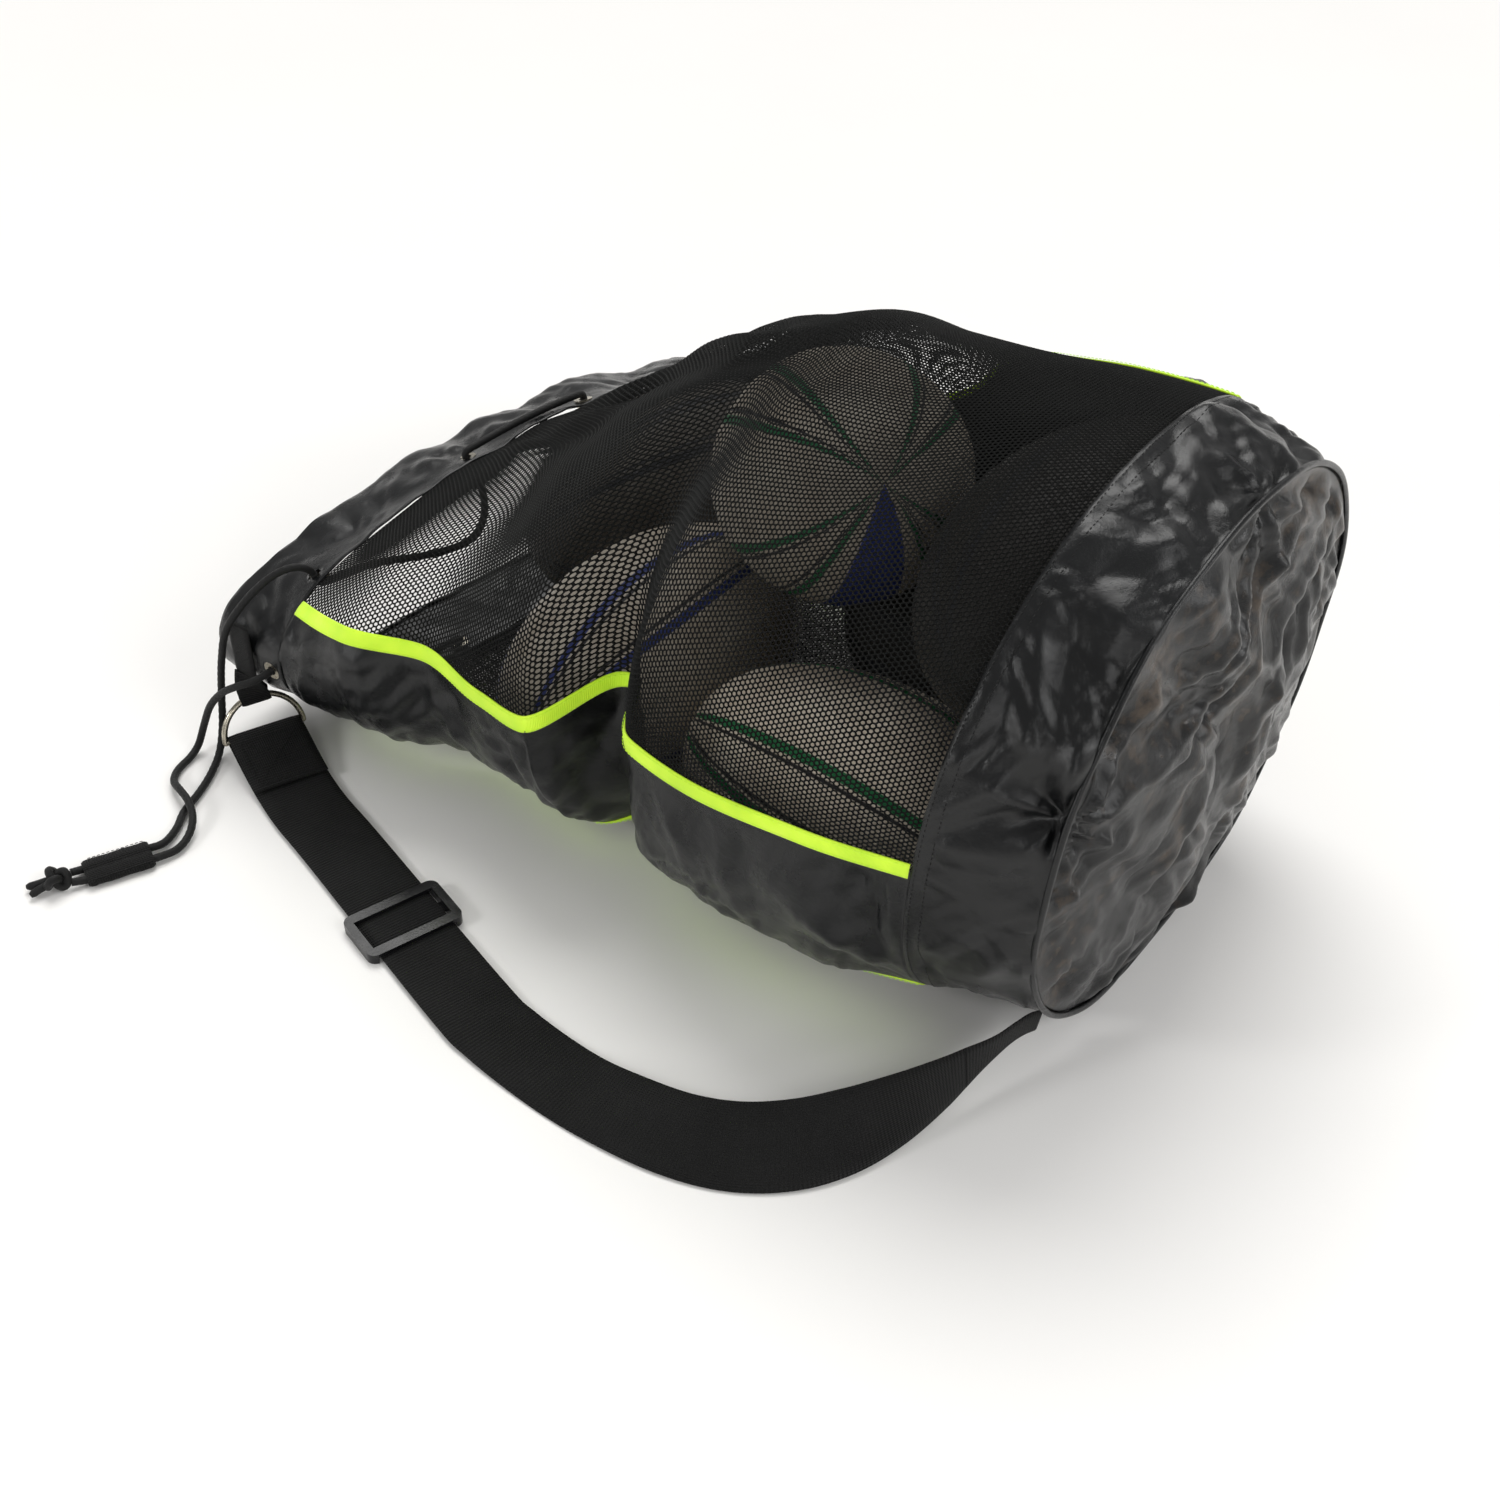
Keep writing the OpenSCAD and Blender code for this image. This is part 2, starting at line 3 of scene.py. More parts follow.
import bmesh
import bpy
import numpy as np
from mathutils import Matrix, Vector


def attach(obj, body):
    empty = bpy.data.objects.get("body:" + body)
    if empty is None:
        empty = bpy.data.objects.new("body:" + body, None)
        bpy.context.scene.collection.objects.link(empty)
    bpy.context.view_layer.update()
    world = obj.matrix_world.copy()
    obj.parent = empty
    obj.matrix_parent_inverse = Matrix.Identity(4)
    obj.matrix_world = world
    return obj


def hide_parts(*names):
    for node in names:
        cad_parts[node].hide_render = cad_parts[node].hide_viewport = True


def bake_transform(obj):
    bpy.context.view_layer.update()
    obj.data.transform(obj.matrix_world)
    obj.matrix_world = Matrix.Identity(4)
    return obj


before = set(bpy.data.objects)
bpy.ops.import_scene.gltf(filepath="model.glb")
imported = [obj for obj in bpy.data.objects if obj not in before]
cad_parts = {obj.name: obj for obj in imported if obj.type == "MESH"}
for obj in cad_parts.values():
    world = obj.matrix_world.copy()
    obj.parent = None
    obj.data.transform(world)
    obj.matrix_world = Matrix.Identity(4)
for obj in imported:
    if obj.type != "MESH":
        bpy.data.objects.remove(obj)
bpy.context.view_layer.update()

# The CAD model is drawn in millimetres and moved by SHIFT; here it all becomes metres.
SHIFT = np.array([54.6, 35.0, 0.0])


def m(p):
    return (np.asarray(p, float) + SHIFT) / 1000


# ---- camera and lights
cam = bpy.data.objects.new("camera", bpy.data.cameras.new("camera"))
bpy.context.collection.objects.link(cam)
cam.data.lens, cam.data.sensor_width = 48, 36
cam.location = Vector(m((587, -799.5, 866)))
cam.rotation_euler = (Vector(m((0, -100, 100))) - cam.location).to_track_quat("-Z", "Y").to_euler()
bpy.context.scene.camera = cam
bpy.context.scene.view_settings.view_transform = "Standard"

# ---- shape of the bag
# x, near side, far side, height, roundness above and below, lean, yaw, lift, then the
# angles of the long seams: front strip upper and lower, back strip upper and lower
SECTIONS = np.array([
    [-350, -212, 255, 129, 1.8, 3.0, 0, 0.07, 9, 9, -18, 168, 196],
    [-288, -210, 248, 150, 1.9, 3.0, 0, 0.07, 9, 8, -20, 170, 199],
    [-235, -207, 240, 187, 2.1, 3.0, 0, 0.05, 5, 7, -24, 173, 205],
    [-185, -182, 228, 222, 2.1, 3.0, 0, 0.03, 0, 4, -31, 176, 210],
    [-130, -194, 208, 268, 2.1, 3.0, 0, 0, 0, -1, -39, 177, 213],
    [-90, -196, 198, 294, 2.1, 3.0, 0, 0, 0, -4, -42, 174, 212],
    [-55, -150, 192, 308, 2.1, 3.0, 0.02, 0, 0, 0, -44, 166, 206],
    [-15, -192, 192, 315, 2.1, 3.0, 0.03, 0, 0, 0, -42, 152, 194],
    [40, -200, 194, 322, 2.1, 3.0, 0.05, -0.016, 0, 0, -41, 138, 180],
    [95, -196, 195, 332, 2.1, 2.8, 0.07, -0.038, 0, 0, -41, 132, 174],
    [150, -183, 190, 337, 2.1, 2.5, 0.09, -0.06, 0, 0, -41, 130, 172],
    [188, -172, 185, 330, 2.1, 2.3, 0.07, -0.06, 0, 0, -41, 130, 172],
    [225, -162, 180, 318, 2.1, 2.1, 0.05, -0.06, 0, 0, -41, 130, 172]])
MOUTH, COLLAR, BAND, BASE = -350, -288, 150, 225


def gentle(xs, ys):
    """A smooth curve through the points that doesn't overshoot them."""
    h = np.diff(xs)
    d = np.diff(ys) / h
    s = np.zeros(len(xs))
    for i in range(1, len(xs) - 1):
        if d[i - 1] * d[i] > 0:
            a, b = 2 * h[i] + h[i - 1], h[i] + 2 * h[i - 1]
            s[i] = (a + b) / (a / d[i - 1] + b / d[i])
    s[0], s[-1] = d[0], d[-1]

    def at(x):
        x = np.asarray(x, float)
        i = np.clip(np.searchsorted(xs, x) - 1, 0, len(xs) - 2)
        t = (x - xs[i]) / h[i]
        return ((1 + 2 * t) * (1 - t) ** 2 * ys[i] + t * (1 - t) ** 2 * h[i] * s[i]
                + t * t * (3 - 2 * t) * ys[i + 1] + t * t * (t - 1) * h[i] * s[i + 1])
    return at


AT = [gentle(SECTIONS[:, 0], SECTIONS[:, k]) for k in range(13)]


def reach(a, w, h, n):
    return ((abs(np.cos(a)) / w) ** n + (abs(np.sin(a)) / h) ** n) ** (-1 / n)


def skin(x, deg, inside, at=AT):
    """A point of the bag's skin at station x and angle deg, in millimetres."""
    x, deg = np.broadcast_arrays(np.asarray(x, float), np.asarray(deg, float))
    a = np.radians(deg)
    near, far, hh = at[1](x), at[2](x), at[3](x) / 2
    w = (far - near) / 2 - inside
    r = np.where(np.sin(a) > 0, reach(a, w, hh - inside, at[4](x)),
                 reach(a, w, hh + 1 - inside, at[5](x)))
    y = (near + far) / 2 - r * np.cos(a)
    z = np.maximum(hh + r * np.sin(a), inside) + at[8](x)
    return np.stack([x + at[6](x) * z + at[7](x) * y, y, z], -1)


# ---- noise, the same each run
def _hash(i, j, k, seed):
    n = (i * 73856093) ^ (j * 19349663) ^ (k * 83492791) ^ (seed * 2654435)
    n = (n ^ (n >> 13)) * 1274126177
    return ((n ^ (n >> 16)) & 0xFFFFF) / 0xFFFFF


def noise(p, size, seed=0):
    """Smooth noise from 0 to 1 at points p, in millimetres."""
    q = np.asarray(p, float) / size + 1000.5
    c = np.floor(q).astype(np.int64)
    f = q - c
    f = f * f * (3 - 2 * f)
    out = 0
    for i in (0, 1):
        for j in (0, 1):
            for k in (0, 1):
                w = (f[..., 0] if i else 1 - f[..., 0]) * (f[..., 1] if j else 1 - f[..., 1]) \
                    * (f[..., 2] if k else 1 - f[..., 2])
                out = out + w * _hash(c[..., 0] + i, c[..., 1] + j, c[..., 2] + k, seed)
    return out


def pinch(p, centre, across, along, high, size, arms, phase):
    """Folds that fan out from a place where the seam is pulled in."""
    d = p - np.array(centre, float)
    a, b = d @ np.array(across, float), d @ np.array(along, float)
    r = np.sqrt(a * a + b * b)
    fan = np.sqrt((0.5 - 0.5 * np.cos(np.arctan2(a, b) * arms + phase)) + 0.01)
    folds = high * (0.6 - fan) * np.exp(-(r / size) ** 1.3) * r / (r + 9)
    return folds - 0.45 * high * np.exp(-(r / 16) ** 2)


FOLDS = [(88, 0.62, 0.31, 0.72), (67, -0.35, 0.81, 0.47), (52, 0.88, -0.22, -0.42),
         (41, 0.15, 0.64, -0.75), (30, -0.72, -0.41, 0.56), (22, 0.44, -0.86, 0.25),
         (15, 0.33, 0.52, 0.79), (10, -0.81, 0.33, 0.48)]


def crumple(p, seed=0, high=0.088, small=1.0):
    """Straight sharp folds that cross each other and fade in and out, in millimetres."""
    p = np.asarray(p, float)
    w = np.stack([noise(p, 75, seed + s) for s in (91, 92, 93)], -1) - 0.5
    q = p + w * 46
    h = 0
    for n, (size, *d) in enumerate(FOLDS):
        turn = np.roll(np.array(d), seed + n)
        t = q @ turn / size + 0.37 * (seed + n) + 0.5 * noise(p, size * 2.2, seed + 7 * n)
        tri = abs((t % 1) - 0.5) * 2
        ridge = np.sqrt((1 - tri) ** 2 + 0.004)
        mask = np.clip(noise(p, size * 1.5, seed + 31 + n) * 2.4 - 0.75, 0, 1)
        h = h + size * high * (small if size < 35 else 1) * mask * (0.45 - ridge)
    return h


# ---- mesh helpers
def new_object(name, verts, faces, smooth=True):
    """A mesh object from an array of points in metres and faces (an array of quads or a list)."""
    me = bpy.data.meshes.new(name)
    me.from_pydata(verts.tolist(), [], faces.tolist() if isinstance(faces, np.ndarray) else faces)
    me.validate()
    me.update()
    if smooth:
        me.polygons.foreach_set("use_smooth", [True] * len(me.polygons))
    o = bpy.data.objects.new(name, me)
    bpy.context.collection.objects.link(o)
    return o


def quads(nr, nc, closed=False):
    r, c = np.meshgrid(np.arange(nr - 1), np.arange(nc if closed else nc - 1), indexing="ij")
    d = (c + 1) % nc if closed else c + 1
    return np.stack([r * nc + c, (r + 1) * nc + c, (r + 1) * nc + d, r * nc + d], -1).reshape(-1, 4)


def capped(rings, sides):
    """The faces of a closed tube of rings, with one face over each end."""
    last = (rings - 1) * sides
    ends = [list(range(sides)), list(range(last, last + sides))[::-1]]
    return quads(rings, sides, True).tolist() + ends


def set_uv(o, u, v):
    """u and v are given for each vertex."""
    uv = np.stack(np.broadcast_arrays(u, v), -1).reshape(-1, 2)
    layer = o.data.uv_layers.new(name="uv")
    idx = np.zeros(len(o.data.loops), np.int64)
    o.data.loops.foreach_get("vertex_index", idx)
    layer.data.foreach_set("uv", uv[idx].reshape(-1))


def weld(o, near, then=None):
    """Joins the points of a mesh that coincide, and then does one more step on it."""
    bm = bmesh.new()
    bm.from_mesh(o.data)
    bmesh.ops.remove_doubles(bm, verts=bm.verts, dist=near)
    if then:
        then(bm)
    bm.to_mesh(o.data)
    bm.free()


def run_of(q):
    """How far each point of a line is from its start."""
    return np.concatenate([[0], np.cumsum(np.linalg.norm(np.diff(q, axis=0), axis=1))])


def solid(o, thick, offset=-1.0):
    s = o.modifiers.new("thick", "SOLIDIFY")
    s.thickness, s.offset = thick, offset
    return o


def normals(g, closed_cols=False):
    du = np.gradient(g, axis=0)
    if closed_cols:
        dv = (np.roll(g, -1, 1) - np.roll(g, 1, 1)) / 2
    else:
        dv = np.gradient(g, axis=1)
    n = np.cross(dv, du)
    return n / np.maximum(np.linalg.norm(n, axis=-1, keepdims=True), 1e-9)


# ---- the cloth, as one grid
# Columns run round the bag through four panels; rows run from the mouth to the base.
PANELS = [("front", 10, 9, 0, 20), ("top", 9, 11, 0, 56), ("back", 11, 12, 0, 18),
          ("under", 12, 10, 360, 52)]
STEPS = np.concatenate([np.linspace(MOUTH, COLLAR, 13), np.linspace(COLLAR, BAND, 89)[1:],
                        np.linspace(BAND, BASE, 16)[1:]])
ROW_C, ROW_B = 12, 100
COL0 = {}
n = 0
for name, k0, k1, turn, cols in PANELS:
    COL0[name] = (n, cols)
    n += cols
NCOL = n


def bump_at(x, deg, x0, deg0, wx, wdeg):
    """A round swelling, 1 at its middle."""
    d = (deg - deg0 + 180) % 360 - 180
    return np.exp(-((x - x0) / wx) ** 2 - (d / wdeg) ** 2)


def fold(x, deg, x0, d0, x1, d1, width, high):
    """A fold along a line over the skin, higher in its middle."""
    t = np.clip((x - x0) / (x1 - x0), 0, 1)
    c = d0 + (d1 - d0) * t
    d = ((deg - c + 180) % 360 - 180) / width
    along = np.sin(np.pi * t) ** 0.7
    beside = np.exp(-((d - 1.7) ** 2)) + np.exp(-((d + 1.7) ** 2))
    return high * along * (np.exp(-d * d) - 0.45 * beside)


def drape(x, deg):
    """How far the cloth stands off the plain skin, in millimetres: folds, gathers and slack."""
    top = np.clip(np.sin(np.radians(deg)) * 1.6, 0, 1)
    collar = np.exp(-((x - MOUTH) / 75.0) ** 2)
    h = collar * 2.2 * np.sin(np.radians(deg) * 9 + 1.3 * np.sin(np.radians(deg * 2))) * (0.3 + 0.7 * top)
    h = h + fold(x, deg, -286, 112, -60, 92, 6.5, 9) + fold(x, deg, -286, 128, -90, 118, 6, 8)
    h = h + fold(x, deg, -280, 62, -120, 40, 7, 5) + fold(x, deg, -150, 60, 40, 76, 8, 4)
    h = h - 7 * bump_at(x, deg, -55, -10, 16, 34) + 3 * bump_at(x, deg, -95, -15, 22, 16)
    h = h - 5 * bump_at(x, deg, 128, 40, 20, 18) - 4 * bump_at(x, deg, -170, 40, 40, 20)
    h = h - 3.5 * bump_at(x, deg, 60, 70, 35, 15) - 3.5 * bump_at(x, deg, 100, 105, 30, 14)
    return h


def build_grid():
    rows, angle = [], []
    for x in STEPS:
        row, ang = [], []
        for name, k0, k1, turn, cols in PANELS:
            a0, a1 = float(AT[k0](x)), float(AT[k1](x)) + turn
            deg = np.linspace(a0, a1, 160)
            p = skin(x, deg, 0)
            s = run_of(p)
            pick = np.interp(np.arange(cols) / cols * s[-1], s, deg)
            row.append(skin(x, pick, 0))
            ang.append(pick)
        rows.append(np.concatenate(row))
        angle.append(np.concatenate(ang))
    return np.array(rows), np.array(angle)


G, ANG = build_grid()
N = normals(G, True)
if np.mean((G - G.mean(1, keepdims=True)) * N) < 0:
    N = -N
FLIP = np.mean((G - G.mean(1, keepdims=True)) * normals(G, True)) < 0
rest = drape(STEPS[:, None] + 0 * ANG, ANG)
onfloor = np.clip(G[..., 2:3] / 12, 0, 1)
G = G + N * rest[..., None] * onfloor
G[..., 2] = np.maximum(G[..., 2], 0.3)


# Half the length and half the thickness of a ball, then each ball's centre, axis, roll and colour, which
# also carries painted light and shade
BALL_LONG, BALL_ROUND = 122.5, 77.5
BALLS = [("ball_front", (81, -91, 91), (1, 0.05, -0.07), 0.14, "green_a"),
         ("ball_middle", (-118, -57, 83.5), (-0.02, 1, 0.03), 0.05, "blue"),
         ("ball_top", (-31, 21, 220), (0.60, -0.50, 0.45), 0.62, "green_b"),
         ("ball_mouth", (-228, 100, 85.8), (0.34, 1, 0), 0.3, "mouth_shade"),
         ("ball_rear", (60, 86, 88), (1, -0.05, 0), 0.2, "dark"),
         ("ball_base", (152, 5, 240), (0, 1, 0), 0.4, "dark")]


def off_balls(p, gap):
    """Moves points that would be in a ball out to its surface, so the cloth lies on it."""
    for _, centre, axis, _, _ in BALLS:
        ax = np.array(axis, float)
        ax /= np.linalg.norm(ax)
        d = p - np.array(centre, float)
        along = d @ ax
        r2 = (d ** 2).sum(-1) - along ** 2
        f = np.sqrt(np.maximum(along ** 2 / (BALL_LONG + gap) ** 2 + r2 / (BALL_ROUND + gap) ** 2, 1e-6))
        p = np.where((f < 1)[..., None], np.array(centre, float) + d / f[..., None], p)
    return p


G = off_balls(G, 2.2)


class Cloth:
    """A smooth surface over some rows and columns of the grid: at(u, v, off)."""

    def __init__(self, r0, r1, c0, nc, closed=False):
        cols = [(c0 + i) % NCOL for i in range(nc if closed else nc + 1)]
        if closed:
            cols.append(cols[0])
        self.g = G[r0:r1 + 1][:, cols]
        wide = [cols[0] - 1] + cols + [(cols[-1] + 1) % NCOL]
        g = G[max(r0 - 1, 0):r1 + 2][:, wide]
        nn = normals(g)
        self.n = nn[(1 if r0 else 0):(1 if r0 else 0) + r1 - r0 + 1, 1:-1]
        if FLIP:
            self.n = -self.n
        self.long = np.linalg.norm(np.diff(self.g, axis=0), axis=-1).sum(0).mean()
        self.wide = np.linalg.norm(np.diff(self.g, axis=1), axis=-1).sum(1).mean()

    def at(self, u, v, off=0.0):
        nr, nc = self.g.shape[:2]
        a, b = np.clip(u, 0, 1) * (nr - 1), np.clip(v, 0, 1) * (nc - 1)
        i, j = np.minimum(a.astype(int), nr - 2), np.minimum(b.astype(int), nc - 2)
        a, b = (a - i)[..., None], (b - j)[..., None]

        def mix(t):
            return (t[i, j] * (1 - a) * (1 - b) + t[i + 1, j] * a * (1 - b)
                    + t[i, j + 1] * (1 - a) * b + t[i + 1, j + 1] * a * b)
        p, nn = mix(self.g), mix(self.n)
        nn = nn / np.linalg.norm(nn, axis=-1, keepdims=True)
        return p + nn * np.asarray(off)[..., None], nn


def facing_out(nu, nv):
    """Faces of a panel that look out of the bag."""
    f = quads(nu, nv)
    return f[:, ::-1] if FLIP else f


def sheet_piece(name, cloth, step, thick, extra):
    """A cloth panel as one fine mesh with creases of its own."""
    nu, nv = max(4, int(cloth.long / step)), max(4, int(cloth.wide / step))
    u, v = np.meshgrid(np.linspace(0, 1, nu), np.linspace(0, 1, nv), indexing="ij")
    p, nn = cloth.at(u, v)
    p = off_balls(p + nn * extra(p, u, v)[..., None], 1.3)
    p[..., 2] = np.maximum(p[..., 2], 0.35)
    o = new_object(name, m(p.reshape(-1, 3)), facing_out(nu, nv))
    set_uv(o, u * cloth.long / 1000, v * cloth.wide / 1000)
    if thick:
        solid(o, thick)
    return o


# ---- knitted mesh
def lattice(name, cloth, u0, u1, pitch=3.3, hole=1.22, over=1.2):
    """Netting with staggered six-sided holes, as real openings in a thin cloth."""
    step = pitch * math.sqrt(3) / 2
    rows = int(round(cloth.long / step))
    cols = int(round(cloth.wide / pitch))
    r0, r1 = int(round(rows * u0)), int(round(rows * u1))
    i, j = np.meshgrid(np.arange(r0, r1), np.arange(cols), indexing="ij")
    i, j = i.ravel(), j.ravel()
    cy, cx = (i + 0.5) * 3, 2 * j + 1 + (i % 2)
    k = np.arange(6)
    ang = np.radians(30 + 60 * k)
    ox = np.round(np.cos(ang) / math.cos(math.radians(30))).astype(int)
    oy = np.round(np.sin(ang) * 2).astype(int)
    kx = cx[:, None] + ox[None]
    ky = cy[:, None] + oy[None]
    keys = np.stack([kx.ravel(), np.round(ky.ravel() * 2).astype(int)], 1)
    uniq, inv = np.unique(keys, axis=0, return_inverse=True)
    inv = inv.reshape(-1, 6)
    pu, pv = uniq[:, 1] / 2 / 3 / rows, uniq[:, 0] / 2 / cols
    outer = off_balls(cloth.at(pu, pv, 0.0)[0], 1.6)
    f = hole / (pitch / math.sqrt(3))
    iu = (cy[:, None] + oy[None] * f) / 3 / rows
    iv = (cx[:, None] + ox[None] * f) / 2 / cols
    inner = off_balls(cloth.at(iu, iv, np.full(iu.shape, -0.8))[0], 0.7)
    nv = len(uniq)
    idx = nv + np.arange(inner.shape[0] * 6).reshape(-1, 6)
    nxt = (k + 1) % 6
    faces = np.stack([inv, inv[:, nxt], idx[:, nxt], idx], -1).reshape(-1, 4)
    pts = np.concatenate([outer, inner.reshape(-1, 3)])
    pts[:, 2] = np.maximum(pts[:, 2], 0.4)
    o = new_object(name, m(pts), faces, smooth=False)
    return o, (u1 - u0) * cloth.long / 1000, cloth.wide / 1000


# ---- tubes and ribbons
def curve_through(points, step):
    """A smooth line through the points, about step apart; further columns go along with it."""
    p = np.asarray(points, float)
    out = []
    for i in range(len(p) - 1):
        a, b, c, d = p[max(i - 1, 0)], p[i], p[i + 1], p[min(i + 2, len(p) - 1)]
        k = max(2, int(np.linalg.norm((c - b)[:3]) / step * 1.15))
        for t in np.arange(k) / k:
            out.append(0.5 * (2 * b + (c - a) * t + (2 * a - 5 * b + 4 * c - d) * t * t
                              + (3 * b - a - 3 * c + d) * t ** 3))
    out.append(p[-1])
    return np.array(out)


def carried(q):
    """Frames that turn as little as they can along a line."""
    t = np.gradient(q, axis=0)
    t /= np.linalg.norm(t, axis=1, keepdims=True)
    a = np.cross(t[0], [0, 0, 1] if abs(t[0][2]) < 0.9 else [1, 0, 0])
    side = [a / np.linalg.norm(a)]
    for i in range(1, len(q)):
        v = side[-1] - t[i] * np.dot(side[-1], t[i])
        side.append(v / np.linalg.norm(v))
    side = np.array(side)
    return t, side, np.cross(t, side)


def tube(name, q, radius, sides=24, braid=0.0, lay=9.0, taper=None):
    """A round cord along q, in millimetres; braid raises its plaited strands."""
    t, a, b = carried(q)
    s = run_of(q)
    th = np.arange(sides) / sides * 2 * np.pi
    r = np.full((len(q), sides), float(radius))
    if braid:
        k = 8
        w1 = np.sin(k / 2 * th[None] + 2 * np.pi * s[:, None] / lay * 2)
        w2 = np.sin(k / 2 * th[None] - 2 * np.pi * s[:, None] / lay * 2)
        r = r * (1 + braid * (np.maximum(w1, w2) - 0.55))
    if taper is not None:
        r = r * taper(s / s[-1])[:, None]
    cos, sin = np.cos(th)[None, :, None], np.sin(th)[None, :, None]
    p = q[:, None] + r[..., None] * (a[:, None] * cos + b[:, None] * sin)
    o = new_object(name, m(p.reshape(-1, 3)), capped(len(q), sides))
    set_uv(o, s[:, None] / 1000, th[None] / (2 * np.pi))
    return o


def ribbon(name, rows, thick, step=2.5, across=9, edge=0.35):
    """Webbing through rows of x, y, z, heading, pitch, bank, half width (millimetres, degrees)."""
    r = curve_through(rows, step * 1.15)
    heading, pitch, bank = np.radians(r[:, 3:6]).T
    up = np.array([0, 0, 1.0])
    ahead = np.stack([np.cos(heading), np.sin(heading), 0 * heading], 1)
    aside = np.stack([-np.sin(heading), np.cos(heading), 0 * heading], 1)
    t = ahead * np.cos(pitch)[:, None] + up * np.sin(pitch)[:, None]
    w = aside * np.cos(bank)[:, None] + up * np.sin(bank)[:, None]
    nn = np.cross(t, w)
    nn /= np.linalg.norm(nn, axis=1, keepdims=True)
    c = np.linspace(-1, 1, across)
    ring = [(x, thick / 2 * (1 if abs(x) < 0.97 else edge)) for x in c]
    ring += [(x, -thick / 2 * (1 if abs(x) < 0.97 else edge)) for x in c[::-1]]
    p = np.stack([r[:, :3] + w * (r[:, 6] * x)[:, None] + nn * y for x, y in ring], 1)
    o = new_object(name, m(p.reshape(-1, 3)), capped(len(r), len(ring)))
    set_uv(o, run_of(r[:, :3])[:, None] / 1000, np.array([x for x, _ in ring])[None] * 0.025)
    return o, r


def pick_at(at, s, values):
    """The values of a line at the distances given."""
    return np.stack([np.interp(at, s, values[:, k]) for k in range(3)], 1)


def stitches(name, lines, pitch=3.4, long=2.5, r=0.32):
    """Thread along lines of (points, normals), in millimetres."""
    verts, faces = [], []
    n0 = 0
    for q, nn in lines:
        s = run_of(q)
        at = np.arange(pitch / 2, s[-1] - pitch / 2, pitch)
        c, nv = pick_at(at, s, q), pick_at(at, s, nn)
        nv /= np.linalg.norm(nv, axis=1, keepdims=True)
        d = pick_at(at + 0.5, s, q) - pick_at(at - 0.5, s, q)
        d /= np.maximum(np.linalg.norm(d, axis=1, keepdims=True), 1e-6)
        w = np.cross(nv, d)
        for f, h, ww in ((-0.5, -0.25, 0.5), (-0.28, 0.75, 1), (0.28, 0.75, 1), (0.5, -0.25, 0.5)):
            verts.append(c + d * long * f + nv * r * h - w * r * ww)
            verts.append(c + d * long * f + nv * r * h + w * r * ww)
            verts.append(c + d * long * f - nv * r * 0.6)
        g = [n0 + np.arange(len(c)) + len(c) * j for j in range(12)]
        for a in range(3):
            x, y = g[3 * a:3 * a + 3], g[3 * a + 3:3 * a + 6]
            for i in range(3):
                j = (i + 1) % 3
                faces.append(np.stack([x[i], x[j], y[j], y[i]], 1))
        n0 += 12 * len(c)
    return new_object(name, m(np.concatenate(verts)), np.concatenate(faces))


# ---- materials
class Nodes:
    def __init__(self, name):
        self.mat = bpy.data.materials.new(name)
        self.mat.use_nodes = True
        self.t = self.mat.node_tree
        self.t.nodes.clear()
        self.out = self.add("ShaderNodeOutputMaterial")
        self.bsdf = self.add("ShaderNodeBsdfPrincipled")
        self.t.links.new(self.bsdf.outputs[0], self.out.inputs[0])

    def add(self, kind, **props):
        nd = self.t.nodes.new(kind)
        for k, v in props.items():
            setattr(nd, k, v)
        return nd

    def link(self, a, b):
        self.t.links.new(a, b)

    def coords(self, uv=False):
        c = self.add("ShaderNodeTexCoord")
        return c.outputs["UV" if uv else "Object"]

    def tex(self, kind, vector, scale, **sockets):
        nd = self.add(kind)
        self.link(vector, nd.inputs["Vector"])
        nd.inputs["Scale"].default_value = scale
        for k, v in sockets.items():
            nd.inputs[k].default_value = v
        return nd

    def mapped(self, vector, scale):
        nd = self.add("ShaderNodeMapping")
        self.link(vector, nd.inputs["Vector"])
        nd.inputs["Scale"].default_value = scale
        return nd.outputs[0]

    def ramp(self, fac, stops):
        nd = self.add("ShaderNodeValToRGB")
        self.link(fac, nd.inputs[0])
        e = nd.color_ramp.elements
        while len(e) < len(stops):
            e.new(0.5)
        for el, (pos, col) in zip(e, stops):
            el.position, el.color = pos, (*col, 1)
        return nd.outputs[0]

    def math(self, op, a, b):
        nd = self.add("ShaderNodeMath", operation=op)
        for i, v in enumerate((a, b)):
            if isinstance(v, (int, float)):
                nd.inputs[i].default_value = v
            else:
                self.link(v, nd.inputs[i])
        return nd.outputs[0]

    def mix(self, fac, a, b):
        nd = self.add("ShaderNodeMix", data_type="RGBA")
        self.link(fac, nd.inputs["Factor"])
        for key, v in ((6, a), (7, b)):
            if isinstance(v, tuple):
                nd.inputs[key].default_value = (*v, 1)
            else:
                self.link(v, nd.inputs[key])
        return nd.outputs[2]

    def bump(self, height, dist, strength=1.0, before=None):
        nd = self.add("ShaderNodeBump")
        nd.inputs["Distance"].default_value = dist
        nd.inputs["Strength"].default_value = strength
        self.link(height, nd.inputs["Height"])
        if before is not None:
            self.link(before, nd.inputs["Normal"])
        return nd.outputs[0]

    def done(self, color=None, normal=None, rough=None, **sockets):
        for sock, v in (("Base Color", color), ("Normal", normal), ("Roughness", rough)):
            if v is None:
                continue
            if isinstance(v, float):
                self.bsdf.inputs[sock].default_value = v
            else:
                self.link(v, self.bsdf.inputs[sock])
        for k, v in sockets.items():
            self.bsdf.inputs[k.replace("_", " ")].default_value = v
        return self.mat


